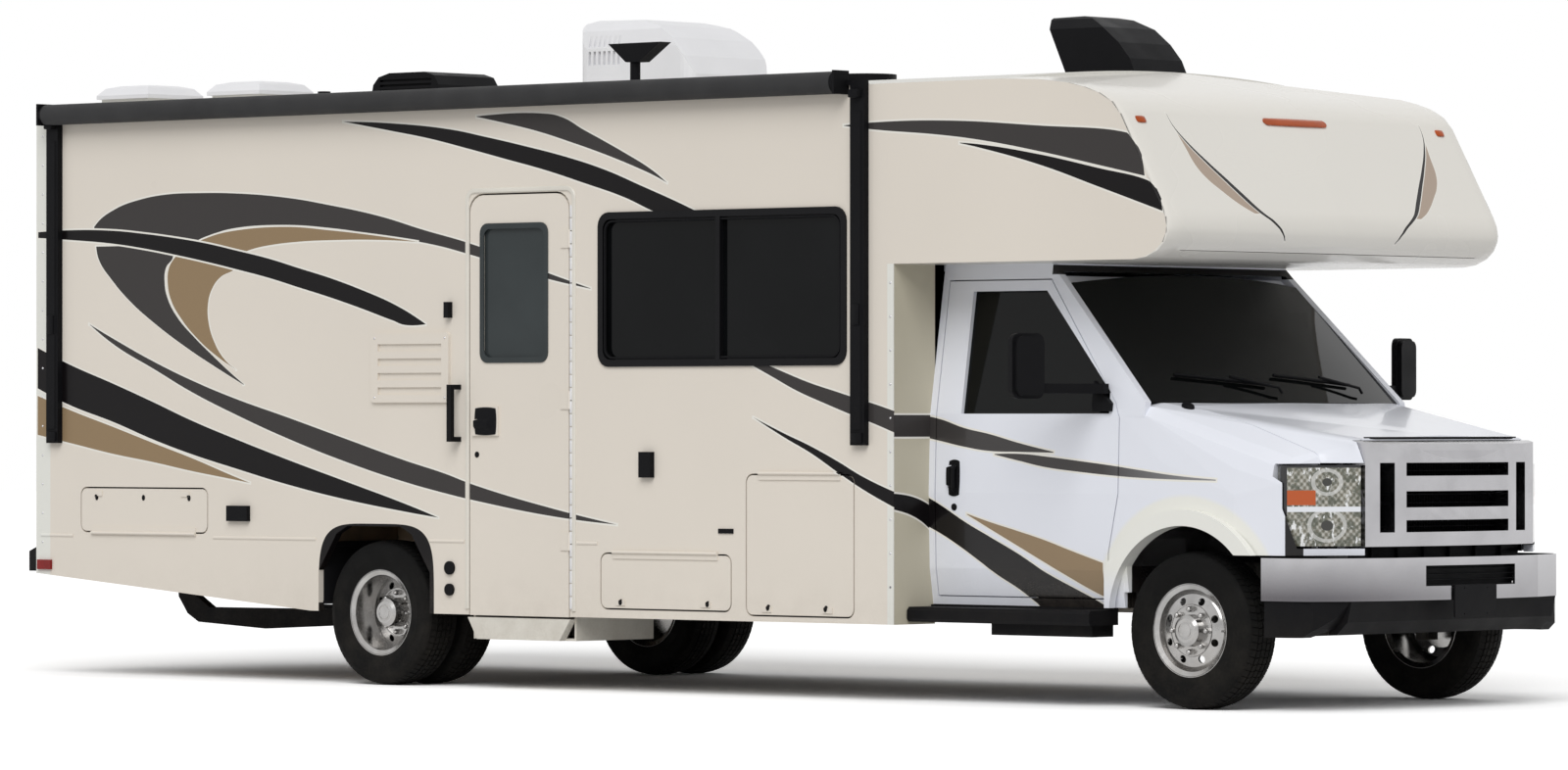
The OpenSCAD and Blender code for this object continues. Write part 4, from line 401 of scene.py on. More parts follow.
def finish(name, colour, smooth, rough, grain, patch, bump, vary, dust=0.0, dust_top=0.9, bands=(),
           weave=None, tweak=None, **sockets):
    """A material for one finish of the object: grain, slow variation, road dust and painted bands."""
    mat = bpy.data.materials.new(name)
    mat.use_nodes = True
    w = Wiring(mat.node_tree)
    shader = mat.node_tree.nodes["Principled BSDF"]
    grains = w.use(GRAIN, {"Grain Scale": grain, "Patch Scale": patch, "Smooth": smooth, "Rough": rough})
    darker = tuple(c * (1 - vary) for c in colour)
    lighter = tuple(min(1.0, c * (1 + vary * 0.6)) for c in colour)
    paint = w.mix(grains["Shade"], darker, lighter)
    if tweak:
        paint = tweak(w, paint)
    for group in bands:
        paint = w.use(group, {"Paint": paint})["Colour"]
    roughness, height = grains["Roughness"], grains["Height"]
    if dust:
        cover = w.use(DUST, {"Dust Top": dust_top, "Amount": dust})["Dust"]
        paint = w.mix(cover, paint, DIRT)
        roughness = w.plus(roughness, w.times(cover, 0.35), clamp=True)
    if weave:
        height = weave(w, height)
    bumps = w.wire("ShaderNodeBump", {"Strength": bump, "Distance": 0.002, "Height": height})
    w.join(shader, {"Normal": bumps, "Base Color": paint, "Roughness": roughness})
    w.join(shader, {SOCKETS.get(label, label): value for label, value in sockets.items()})
    return mat


def cloth_weave(w, height):
    """Crossed threads about a millimetre and a half apart."""
    place = w.place()
    out = None
    for direction in ("X", "Z"):
        wave = w.add("ShaderNodeTexWave", wave_type="BANDS", bands_direction=direction)
        wave.inputs["Scale"].default_value = 110
        w.feed(wave.inputs["Vector"], place)
        out = wave.outputs[1] if out is None else w.most(out, wave.outputs[1])
    return w.plus(out, w.times(height, 0.4))


def panel_ripple(w, height):
    """The slow waviness of a large glued panel under its fine grain."""
    place = w.place()
    return w.plus(w.times(w.noise(place, 1.1, 1), 2.0), w.times(height, 0.15))


def pale_corners_and_painted_shade(w, paint):
    """Paler corner mouldings, and painted shade on the end wall behind the cab."""
    x, y, z = w.axes()
    rear_x, front_x, front_end, nose_z = -4.11, 1.787, 1.8265, 2.09
    rear = w.below(x, rear_x)
    front = w.times(w.above(x, front_x), w.below(x, front_end))
    front = w.times(front, w.below(z, nose_z))
    edge = w.above(w.size(y), SIDE_Y - 0.012)
    paint = w.mix(w.times(w.most(rear, front), edge), paint, (0.78, 0.78, 0.73))
    # Painted shade: the end wall in the recess behind the cab is painted a darker olive tone
    end_wall = w.times(w.above(x, END_WALL_X), w.below(w.size(y), SIDE_Y - 0.0045))
    return w.mix(w.times(end_wall, w.below(z, nose_z - 0.002)), paint, (0.56, 0.52, 0.41))


def painted_bumper_reflection(w, paint):
    """Painted reflection: the bumper's plate is painted darker towards its foot and towards its right end, as
    if it mirrored darker ground.
    """
    y, z = w.axes()[1:]
    low = w.ramp(z, 0.70, 0.53)
    side = w.ramp(y, 0.2, -0.9, 0.35, 1.0)
    return w.mix(w.times(low, side), paint, (0.13, 0.125, 0.135))


def lens_pattern_and_painted_reflections(w, _):
    """Reflector bowls, flutes and the amber strip, in place of the lens's plain colour; the reflectors'
    mottled silver is painted reflection, and the glints and bright rings round the bowls are painted
    highlight.
    """
    flutes, cells = 260.0, 190.0
    bowls, ring_half, bulb_share = ((0.80, 1.06, 0.055), (0.80, 0.86, 0.07)), 0.008, 0.34
    amber_y, amber_z, amber_half, shelf_z, shelf_half = 0.845, 0.988, 0.034, 0.935, 0.012
    rim_y, rim_z = 0.957, 1.126
    place = w.place()
    y, z = w.axes()[1:]
    side = w.size(y)
    weave = w.times(w.calc("SINE", w.times(side, flutes)), w.calc("SINE", w.times(z, cells)))
    colour = w.mix(w.ramp(weave, -0.6, 0.8), (0.17, 0.16, 0.12), (0.5, 0.49, 0.44))
    # Painted reflection: darker mottling over the reflectors' silver
    patch = w.ramp(w.noise(place, 22.0, 5, 0.7), 0.46, 0.56)
    colour = w.mix(w.times(patch, 0.8), colour, (0.07, 0.08, 0.055))
    # Painted highlight: small bright glints
    painted_glint = w.ramp(w.noise(place, 34.0, 3, 0.6, (1, 1, 0.5)), 0.58, 0.64)
    colour = w.mix(painted_glint, colour, (0.85, 0.86, 0.86))
    for bowl_y, bowl_z, r in bowls:
        out = w.distance(side, z, bowl_y, bowl_z)
        # Painted highlight: a bright ring round each bowl; the bulb in its middle is dark
        colour = w.mix(w.times(w.between(out, r, ring_half), 0.6), colour, (0.7, 0.7, 0.68))
        colour = w.mix(w.below(out, r * bulb_share), colour, (0.04, 0.04, 0.035))
    amber = w.times(w.above(side, amber_y), w.between(z, amber_z, amber_half))
    colour = w.mix(amber, colour, (0.5, 0.085, 0.008))
    colour = w.mix(w.between(z, shelf_z, shelf_half), colour, (0.8, 0.82, 0.86))
    return w.mix(w.most(w.above(side, rim_y), w.above(z, rim_z)), colour, (0.02, 0.02, 0.022))


LOOK = {
    "coach": finish("coach_gelcoat", (0.765, 0.708, 0.63), 0.26, 0.38, 500, 0.7, 0.05, 0.03, dust=0.25,
        dust_top=0.75, bands=[SIDE_BANDS], weave=panel_ripple, tweak=pale_corners_and_painted_shade, coat=0.05,
        coat_rough=0.08, gloss=0.1),
    "cap": finish("cap_gelcoat", (0.79, 0.765, 0.71), 0.22, 0.34, 500, 0.7, 0.04, 0.02,
        bands=[CAP_BANDS, SIDE_BANDS], weave=panel_ripple, coat=0.15, coat_rough=0.06, gloss=0.2),
    "cab": finish("cab_enamel", (0.80, 0.82, 0.885), 0.2, 0.28, 900, 0.8, 0.02, 0.02, dust=0.2,
        dust_top=0.8, bands=[CAB_BANDS], weave=panel_ripple, coat=0.25, coat_rough=0.04, gloss=0.2),
    "panel": finish("locker_liner", (0.55, 0.54, 0.50), 0.45, 0.6, 350, 2, 0.12, 0.08, dust=0.5),
    "step": finish("step_moulding", (0.72, 0.69, 0.62), 0.35, 0.5, 600, 3, 0.15, 0.05, dust=0.45,
        dust_top=0.7),
    "roof": finish("roof_membrane", (0.74, 0.73, 0.69), 0.5, 0.68, 180, 1.5, 0.25, 0.06),
    "white": finish("cover_white", (0.80, 0.80, 0.82), 0.35, 0.5, 700, 3, 0.12, 0.05),
    "chrome": finish("chrome_plate", (0.45, 0.445, 0.46), 0.12, 0.24, 500, 5, 0.03, 0.12, dust=0.1,
        tweak=painted_bumper_reflection, Metallic=1.0),
    "wheel": finish("bright_wheel", (0.42, 0.415, 0.41), 0.1, 0.24, 500, 12, 0.06, 0.2, dust=0.3,
        dust_top=0.7, Metallic=1.0),
    "black": finish("black_moulding", (0.007, 0.007, 0.008), 0.4, 0.6, 900, 4, 0.25, 0.2, dust=0.06,
        dust_top=0.6, gloss=0.06),
    "rubber": finish("seal_rubber", (0.008, 0.008, 0.009), 0.5, 0.65, 700, 8, 0.2, 0.15, gloss=0.06),
    "frame": finish("window_frame_black", (0.006, 0.006, 0.007), 0.28, 0.4, 700, 4, 0.1, 0.15, gloss=0.1),
    "tyre": finish("tyre_rubber", (0.007, 0.007, 0.007), 0.6, 0.85, 500, 9, 0.35, 0.25, dust=0.05,
        dust_top=0.8, gloss=0.07),
    "steel": finish("chassis_black", (0.010, 0.010, 0.011), 0.5, 0.75, 220, 5, 0.4, 0.3, dust=0.07,
        dust_top=1.0, gloss=0.06),
    "iron": finish("cast_iron", (0.03, 0.029, 0.027), 0.55, 0.8, 160, 6, 0.5, 0.35, dust=0.2, dust_top=1.2,
        gloss=0.2),
    "tank": finish("tank_moulding", (0.015, 0.015, 0.016), 0.5, 0.65, 300, 3, 0.25, 0.2, dust=0.15,
        dust_top=1.0, gloss=0.15),
    "floor": finish("floor_boards", (0.24, 0.17, 0.105), 0.45, 0.65, 60, 5, 0.3, 0.35),
    "red": finish("red_lens", (0.22, 0.008, 0.007), 0.15, 0.25, 400, 9, 0.15, 0.25, gloss=0.25),
    "amber": finish("amber_lens", (0.42, 0.07, 0.008), 0.15, 0.25, 400, 9, 0.15, 0.2, gloss=0.25),
    "lens": finish("headlamp_lens", (0.6, 0.6, 0.56), 0.08, 0.16, 300, 9, 0.12, 0.1, tweak=lens_pattern_and_painted_reflections,
        coat=0.4, coat_rough=0.03, gloss=0.3),
    "cloth": finish("seat_cloth", (0.085, 0.08, 0.075), 0.8, 0.95, 500, 7, 0.6, 0.25, weave=cloth_weave),
    "roll": finish("awning_cloth", (0.010, 0.010, 0.011), 0.7, 0.85, 500, 5, 0.4, 0.2, weave=cloth_weave),
    "dash": finish("dash_moulding", (0.05, 0.05, 0.052), 0.5, 0.65, 900, 4, 0.3, 0.2),
    "mirror": finish("mirror_glass", (0.75, 0.77, 0.8), 0.02, 0.05, 400, 3, 0.01, 0.03, Metallic=1.0),
    "tint": finish("coach_tinted_glass", (0.004, 0.0045, 0.005), 0.03, 0.07, 300, 1.5, 0.01, 0.4,
        gloss=0.12),
    "door_tint": finish("door_obscured_glass", (0.04, 0.048, 0.050), 0.1, 0.2, 500, 2, 0.08, 0.2,
        gloss=0.15),
    "cab_tint": finish("cab_tinted_glass", (0.003, 0.0036, 0.0036), 0.02, 0.05, 300, 1.5, 0.01, 0.4,
        clear=0.15, gloss=0.12),
}

NODES_OF_LOOK = {
    "coach": ["right_wall", "left_wall", "end_walls", "entry_door", "hatch_rear", "hatch_mid", "hatch_front",
              "hatch_left", "fridge_vent"],
    "cap": ["front_cap"],
    "cab": ["cab_body", "hood", "cab_door_right", "cab_door_left"],
    "panel": ["lockers"],
    "step": ["entry_step"],
    "roof": ["coach_roof"],
    "white": ["ac_unit", "vent_lid_rear", "vent_lid_front"],
    "chrome": ["grille", "front_bumper"],
    "wheel": ["rim_front_right", "rim_front_left", "rims_rear_right", "rims_rear_left"],
    "black": ["side_fittings", "awning", "roof_fittings", "mirror_right", "mirror_left", "front_trim",
              "running_boards"],
    "frame": ["window_frames"],
    "tyre": ["tyre_front_right", "tyre_front_left", "tyres_rear_right", "tyres_rear_left"],
    "steel": ["chassis_frame"],
    "iron": ["engine_block", "front_axle", "rear_axle", "knuckle_right", "knuckle_left"],
    "tank": ["underbody"],
    "floor": ["coach_floor"],
    "red": ["lamps"],
    "lens": ["headlamps"],
    "cloth": ["cab_interior"],
    "dash": ["steering_wheel"],
    "tint": ["coach_glass"],
    "door_tint": ["entry_glass"],
    "cab_tint": ["windscreen", "door_glass_right", "door_glass_left"],
}


def dress_nodes():
    """Gives every CAD node its finish."""
    for look, names in NODES_OF_LOOK.items():
        for name in names:
            for spot in NODES[name].material_slots:
                spot.link = "OBJECT"
                spot.material = LOOK[look]


# Mesh helpers
def outward_mesh(name, shape):
    """A mesh from (points, faces) with its faces turned outwards."""
    mesh = bpy.data.meshes.new(name)
    mesh.from_pydata([tuple(p) for p in shape[0]], [], shape[1])
    bm = bmesh.new()
    bm.from_mesh(mesh)
    bmesh.ops.recalc_face_normals(bm, faces=bm.faces)
    bm.to_mesh(mesh)
    bm.free()
    return mesh


def placed(name, data):
    obj = bpy.data.objects.new(name, data)
    bpy.context.scene.collection.objects.link(obj)
    return obj


def soften(mesh, angle):
    """Shades a mesh smooth, but for edges sharper than an angle in degrees."""
    for face in mesh.polygons:
        face.use_smooth = True
    mesh.set_sharp_from_angle(angle=math.radians(angle))


def piece(name, shape, look, body, smooth=35, replaces=()):
    """Makes an object from (points, faces) and hangs it on its body."""
    return settle(name, outward_mesh(name, shape), look, body, smooth, replaces)


def settle(name, mesh, look, body, smooth=35, replaces=()):
    """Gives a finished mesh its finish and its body."""
    soften(mesh, smooth)
    mesh.materials.clear()
    mesh.materials.append(LOOK[look])
    obj = placed(name, mesh)
    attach(obj, body)
    if replaces:
        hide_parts(*replaces)
    return obj


def evaluated_mesh(obj):
    return bpy.data.meshes.new_from_object(obj.evaluated_get(bpy.context.evaluated_depsgraph_get()))


def smoothed(node, look, body, angle=34):
    """A merged copy of a curved panel, shaded evenly over its facets, stands for the node."""
    mesh = NODES[node].data.copy()
    bm = bmesh.new()
    bm.from_mesh(mesh)
    bmesh.ops.remove_doubles(bm, verts=bm.verts, dist=0.00002)
    bm.to_mesh(mesh)
    bm.free()
    soften(mesh, angle)
    carrier = placed("carrier", mesh)
    even = carrier.modifiers.new("even", "WEIGHTED_NORMAL")
    even.keep_sharp = True
    even.weight = 100
    done = evaluated_mesh(carrier)
    bpy.data.objects.remove(carrier)
    return settle(node + "_skin", done, look, body, angle, replaces=[node])


def joined(shapes):
    points, faces = [], []
    for some_points, some_faces in shapes:
        base = len(points)
        points += list(some_points)
        faces += [tuple(i + base for i in face) for face in some_faces]
    return points, faces


def mirrored(shape):
    return [Vector((p[0], -p[1], p[2])) for p in shape[0]], [tuple(reversed(f)) for f in shape[1]]


def quads(rows, width, loop=False):
    """Faces between neighbouring rows of points, each row a closed ring."""
    faces = []
    for i in range(rows if loop else rows - 1):
        here, there = i * width, (i + 1) % rows * width
        for j in range(width):
            k = (j + 1) % width
            faces.append((here + j, here + k, there + k, there + j))
    return faces


def shape_of(mesh):
    """The (points, faces) of a mesh or an edit mesh."""
    if isinstance(mesh, bpy.types.Mesh):
        return [v.co.copy() for v in mesh.vertices], [tuple(f.vertices) for f in mesh.polygons]
    mesh.verts.index_update()
    return [v.co.copy() for v in mesh.verts], [tuple(v.index for v in f.verts) for f in mesh.faces]


def bevelled(low, high, bevel=0.003, steps=2):
    """A block with rounded edges between two corners."""
    bm = bmesh.new()
    bmesh.ops.create_cube(bm, size=1.0)
    size = Vector(high) - Vector(low)
    middle = (Vector(high) + Vector(low)) / 2
    for v in bm.verts:
        v.co = Vector((v.co.x * size.x, v.co.y * size.y, v.co.z * size.z)) + middle
    bmesh.ops.bevel(bm, geom=bm.edges[:], offset=bevel, segments=steps, affect="EDGES", profile=0.5)
    shape = shape_of(bm)
    bm.free()
    return shape


def swept(path, section, up=(0, -1, 0), closed=False):
    """A section carried along a path. Section points are (sideways, outwards)."""
    path = [Vector(p) for p in path]
    up = Vector(up).normalized()
    n, m = len(path), len(section)
    points = []
    for i, p in enumerate(path):
        before = path[i - 1] if (closed or i > 0) else p
        after = path[(i + 1) % n] if (closed or i < n - 1) else p
        along = (after - before).normalized()
        sideways = along.cross(up)
        sideways = sideways.normalized() if sideways.length > 1e-6 else Vector((0, 0, 1))
        outwards = sideways.cross(along).normalized()
        for a, b in section:
            points.append(p + sideways * a + outwards * b)
    faces = quads(n, m, closed)
    if not closed:
        faces += [tuple(range(m)), tuple(range((n - 1) * m, n * m))]
    return points, faces


def round_section(r, sides=10):
    turns = [2 * math.pi * i / sides for i in range(sides)]
    return [(r * math.cos(a), r * math.sin(a)) for a in turns]


def flat_section(half, rise):
    """A flat bar's section with narrower outer face."""
    return [(-half, -rise), (half, -rise), (half * 0.8, rise), (-half * 0.8, rise)]


def stacked(rings, sides):
    """A small closed solid from rings of (radius, height) about Z."""
    points = [(a, b, height) for r, height in rings for a, b in round_section(r, sides)]
    last = len(points) - sides
    return points, quads(len(rings), sides) + [tuple(range(sides)), tuple(range(last, len(points)))]


def strip_section(width, rise, sink=0.002):
    """A half-round moulding: flat where it lies, crowned outside."""
    h = width / 2
    crown = [(h, rise * 0.35), (h * 0.6, rise * 0.9), (0, rise), (-h * 0.6, rise * 0.9), (-h, rise * 0.35)]
    return [(-h, -sink), (h, -sink)] + crown


def quarter(centre, r, start, turn, y, steps=6):
    """Points of a quarter circle in the XZ plane; start and turn are in degrees."""
    turns = [math.radians(start + turn * i / steps) for i in range(steps + 1)]
    return [(centre[0] + r * math.cos(a), y, centre[1] + r * math.sin(a)) for a in turns]


def rounded_loop(x0, z0, x1, z1, r, y):
    points = []
    corners = ((x1 - r, z1 - r, 0), (x0 + r, z1 - r, 90), (x0 + r, z0 + r, 180), (x1 - r, z0 + r, 270))
    for cx, cz, start in corners:
        points += quarter((cx, cz), r, start, 90, y)
    return points


def laid_on(node, centre, across, upwards, size, aim, rise, sink=0.003, round_off=0.6, steps=10):
    """A pad with a crowned face laid on a node's surface: rays along aim find the surface."""
    obj = NODES[node]
    aim, across, upwards, centre = Vector(aim).normalized(), Vector(across), Vector(upwards), Vector(centre)
    top, foot = [], []
    for i in range(steps + 1):
        for j in range(steps + 1):
            a, b = 2 * i / steps - 1, 2 * j / steps - 1
            u = a * math.sqrt(1 - round_off * b * b / 2)
            v = b * math.sqrt(1 - round_off * a * a / 2)
            start = centre + across * (u * size[0] / 2) + upwards * (v * size[1] / 2) - aim
            hit, spot = obj.ray_cast(start, aim)[:2]
            if not hit:
                raise ValueError("no surface under a pad on " + node)
            crown = rise * (0.45 + 0.55 * (1 - abs(a) ** 4) * (1 - abs(b) ** 4))
            top.append(spot - aim * crown)
            foot.append(spot + aim * sink)
    n = steps + 1
    base = n * n
    faces = []
    for i in range(steps):
        for j in range(steps):
            quad = (i * n + j, i * n + j + 1, (i + 1) * n + j + 1, (i + 1) * n + j)
            faces += [quad, tuple(base + k for k in reversed(quad))]
    rim = [i * n for i in range(n)] + [steps * n + j for j in range(1, n)]
    rim += [i * n + steps for i in range(steps - 1, -1, -1)] + list(range(steps - 1, 0, -1))
    for k, a in enumerate(rim):
        b = rim[(k + 1) % len(rim)]
        faces.append((a, b, b + base, a + base))
    return top + foot, faces


def side_pad(node, x, z, size, side=-1, rise=0.006, **form):
    """A pad laid on a side face of the object: side is -1 on the right and 1 on the left."""
    return laid_on(node, (x, side * SIDE_Y, z), (1, 0, 0), (0, 0, 1), size, (0, -side, 0), rise, **form)


def turned(profile, centre, side, steps=64):
    """A closed profile of (offset outwards, radius) turned about a wheel's axis."""
    points = []
    for i in range(steps):
        a = 2 * math.pi * i / steps
        for off, r in profile:
            points.append(Vector(centre) + Vector((r * math.cos(a), side * off, r * math.sin(a))))
    return points, quads(steps, len(profile), loop=True)


# Geometry node trees
def geometry_tree(name, **inputs):
    tree = bpy.data.node_groups.new(name, "GeometryNodeTree")
    for label, kind in inputs.items():
        tree.interface.new_socket(name=label, in_out="INPUT", socket_type="NodeSocket" + kind)
    tree.interface.new_socket(name="Geometry", in_out="OUTPUT", socket_type="NodeSocketGeometry")
    w = Wiring(tree)
    return tree, w, w.add("NodeGroupInput").outputs


def close_tree(w, given, geometry):
    """Makes the copies real, gives them their finish and ends the tree."""
    real = w.wire("GeometryNodeRealizeInstances", {0: geometry})
    painted = w.wire("GeometryNodeSetMaterial", {"Geometry": real, "Material": given["Finish"]})
    w.feed(w.add("NodeGroupOutput").inputs[0], painted)


def geometry_of(w, source):
    return w.join(w.add("GeometryNodeObjectInfo"), {"Object": source})["Geometry"]


def ring_tree():
    """Copies of a part evenly round a circle, each turned to face outwards."""
    tree, w, given = geometry_tree("ring_of_parts", Part="Object", Count="Int", Radius="Float", Turn="Vector",
                                   Centre="Vector", Finish="Material")
    circle = w.wire("GeometryNodeMeshCircle", {"Vertices": given["Count"], "Radius": given["Radius"]})
    angle = w.times(w.wire("GeometryNodeInputIndex", {}), w.calc("DIVIDE", 2 * math.pi, given["Count"]))
    turn = w.wire("FunctionNodeEulerToRotation", {0: w.wire("ShaderNodeCombineXYZ", {2: angle})})
    many = w.wire("GeometryNodeInstanceOnPoints", {
        "Points": circle, "Instance": geometry_of(w, given["Part"]), "Rotation": turn})
    close_tree(w, given, w.wire("GeometryNodeTransform", {
        "Geometry": many, "Rotation": given["Turn"], "Translation": given["Centre"]}))
    return tree


def path_tree():
    """Copies of a part along a path, a set distance apart."""
    tree, w, given = geometry_tree("parts_along_path", Path="Object", Part="Object", Spacing="Float",
                                   Finish="Material")
    even = w.wire("GeometryNodeResampleCurve", {
        "Curve": geometry_of(w, given["Path"]), "Length": given["Spacing"]}, mode="LENGTH")
    many = w.wire("GeometryNodeInstanceOnPoints", {"Points": even, "Instance": geometry_of(w, given["Part"])})
    close_tree(w, given, many)
    return tree


RING = ring_tree()
ALONG = path_tree()


def pattern(shape):
    """A short-lived object that a geometry tree copies."""
    return placed("pattern", outward_mesh("pattern", shape))


def line_of(points):
    curve = bpy.data.curves.new("line", "CURVE")
    curve.dimensions = "3D"
    spline = curve.splines.new("POLY")
    spline.points.add(len(points) - 1)
    for spot, p in zip(spline.points, points):
        spot.co = (*p, 1)
    return placed("line", curve)


def grown(tree, values):
    """Runs a geometry tree and gives back its plain shape."""
    host = placed("host", bpy.data.meshes.new("host"))
    modifier = host.modifiers.new("grow", "NODES")
    modifier.node_group = tree
    for item in tree.interface.items_tree:
        if item.item_type == "SOCKET" and item.in_out == "INPUT":
            modifier[item.identifier] = values[item.name]
    bpy.context.view_layer.update()
    mesh = evaluated_mesh(host)
    host.modifiers.remove(modifier)
    bpy.data.objects.remove(host)
    return shape_of(mesh)


def ring(shape, count, radius, side, centre, look):
    """Copies round a wheel's axis."""
    part = pattern(shape)
    grown_shape = grown(RING, {"Part": part, "Count": count, "Radius": radius, "Centre": centre,
                               "Turn": (math.radians(-90 * side), 0, 0), "Finish": LOOK[look]})
    bpy.data.objects.remove(part)
    return grown_shape


def along(shape, points, spacing, look):
    """Copies along a line of points."""
    part, path = pattern(shape), line_of(points)
    grown_shape = grown(ALONG, {"Path": path, "Part": part, "Spacing": spacing, "Finish": LOOK[look]})
    for helper in (part, path):
        bpy.data.objects.remove(helper)
    return grown_shape


# Wheels
TYRE_PROFILE = [
    (-0.086, 0.206), (-0.098, 0.214), (-0.0985, 0.232), (-0.1035, 0.240), (-0.1045, 0.262), (-0.1068, 0.268),
    (-0.1068, 0.274), (-0.1062, 0.279), (-0.107, 0.296), (-0.1055, 0.316), (-0.1062, 0.322), (-0.1045, 0.328),
    (-0.0985, 0.348), (-0.091, 0.3555), (-0.086, 0.3575), (-0.05, 0.3595), (0.0, 0.360)]
# Blocks across the tread: inner and outer edge, the radius at each, and the lean
TREAD_BLOCKS = [
    (-0.013, 0.013, 0.3677, 0.3677, 0.004), (0.02, 0.043, 0.3677, 0.3673, -0.004),
    (-0.043, -0.02, 0.3673, 0.3677, -0.004), (0.051, 0.0895, 0.3665, 0.3585, 0.006),
    (-0.0895, -0.051, 0.3585, 0.3665, 0.006)]
BLOCK_FACES = [(0, 1, 3, 2), (4, 6, 7, 5), (0, 4, 5, 1), (2, 3, 7, 6), (0, 2, 6, 4), (1, 5, 7, 3)]


def tread_row():
    """One pitch of tread: five blocks across, the outer ones reaching round the shoulder."""
    half, root = 0.0148, 0.352
    shapes = []
    for near, far, top_near, top_far, skew in TREAD_BLOCKS:
        points = []
        for z, top in ((near, top_near), (far, top_far)):
            lean = skew * (z - near) / (far - near)
            for r in (root, top):
                points += [(r - TYRE_R, y + lean, z) for y in (-half, half)]
        shapes.append((points, BLOCK_FACES))
    return joined(shapes)


def tyres():
    """Tyres with their tread and side walls, in place of the plain ones."""
    outline = TYRE_PROFILE + [(-a, r) for a, r in reversed(TYRE_PROFILE[:-1])]
    row, pitches = tread_row(), 66
    axles = (("tyre_front_", "front_wheel_", FRONT_X, [FRONT_Y]),
             ("tyres_rear_", "rear_wheels_", REAR_X, [REAR_OUTER_Y, REAR_INNER_Y]))
    for side, label in SIDES:
        for node, body, x, tracks in axles:
            shapes = []
            for y in tracks:
                centre = (x, side * y, AXLE_Z)
                shapes.append(turned(outline, centre, side, 96))
                shapes.append(ring(row, pitches, TYRE_R, side, centre, "tyre"))
            node += label
            piece("tyre_tread_" + node, joined(shapes), "tyre", body + label, 40, [node])


def wheel_trims():
    """Domed wheel nuts, a bead on the disc, a crown on the hub cap and a valve stem."""
    rings = [(0.016, 0.0), (0.016, 0.004), (0.0135, 0.0045), (0.0135, 0.022), (0.011, 0.029), (0.006, 0.032)]
    nut, nuts, nut_circle = stacked(rings, 6), 8, 0.1
    bead = [(-0.002, 0.118), (0.003, 0.1195), (0.0035, 0.122), (-0.002, 0.1245)]
    crown = [(-0.003, 0.030), (0.0005, 0.031), (0.003, 0.036), (0.0005, 0.041), (-0.003, 0.042)]
    stem = [(0.196, 0.055), (0.190, 0.085), (0.187, 0.105)]
    axles = ((FRONT_X, FRONT_Y, 0.085, 0.133, "front_wheel_"),
             (REAR_X, REAR_OUTER_Y, -0.032, 0.070, "rear_wheels_"))
    for side, label in SIDES:
        for x, y, face, cap, body in axles:
            middle = (x, side * y, AXLE_Z)
            shapes = [ring(nut, nuts, nut_circle, side, (x, side * (y + face), AXLE_Z), "wheel")]
            for profile, seat, steps in ((bead, face, 72), (crown, cap, 48)):
                shapes.append(turned([(seat + off, r) for off, r in profile], middle, side, steps))
            path = [(x + ahead, side * (y + out), AXLE_Z) for ahead, out in stem]
            shapes.append(swept(path, round_section(0.005, 8), up=(1, 0, 0)))
            piece("wheel_nuts_" + body + label, joined(shapes), "wheel", body + label, 40)


# Coach
def side_trims():
    """Panel-joint mouldings on both sides, and the frame round the entry door."""
    y, joint_z = -SIDE_Y, 0.737
    moulding = strip_section(0.016, 0.005)

    def bars(*runs):
        return joined([swept([(x0, y, joint_z), (x1, y, joint_z)], moulding) for x0, x1 in runs])

    right = bars((-4.18, -3.93), (-2.86, -2.10), (-1.28, -1.035), (-0.255, -0.115))
    piece("panel_mouldings_right", right, "coach", "body")
    piece("panel_mouldings_left", mirrored(bars((-4.18, -2.10))), "coach", "body")
    rear_x, front_x, foot, top, bend_z, corner = -1.013, -0.274, 0.40, 2.44, 2.445, 0.05
    door = [(rear_x, y, foot), (rear_x, y, top)]
    door += quarter((rear_x + corner, bend_z), corner, 180, -90, y)
    door += quarter((front_x - corner, bend_z), corner, 90, -90, y)
    door += [(front_x, y, top), (front_x, y, foot)]
    piece("entry_door_frame", swept(door, strip_section(0.026, 0.009)), "step", "body")


def hinge_knuckles():
    """The entry door's long hinge: knuckles along its front edge."""
    half, long_half, pitch = 0.006, 0.03, 0.0635
    x, y = -0.288, -SIDE_Y - half
    knuckle = bevelled((-half, -half, -long_half), (half, half, long_half))
    mesh = along(knuckle, [(x, y, 0.44), (x, y, 2.38)], pitch, "white")
    piece("entry_hinge_knuckles", mesh, "white", "body")


def screws():
    """Screw heads down the corner mouldings and the sides of the vent frame."""
    points, faces = stacked([(0.006, 0.001), (0.006, -0.001), (0.004, -0.003)], 8)
    head = [(a, height, b) for a, b, height in points], faces
    gap, y = 0.15, -SIDE_Y
    vent_y = y - 0.016
    lines = ((1.806, y, 0.55, 2.0), (-4.17, y, 0.7, 2.85),
             (-1.66, vent_y, 1.46, 1.76), (-1.16, vent_y, 1.46, 1.76))
    runs = [along(head, [(x, out, foot), (x, out, top)], gap, "chrome") for x, out, foot, top in lines]
    piece("side_screws_right", joined(runs), "chrome", "body")
    piece("side_screws_left", mirrored(joined(runs[:2])), "chrome", "body")


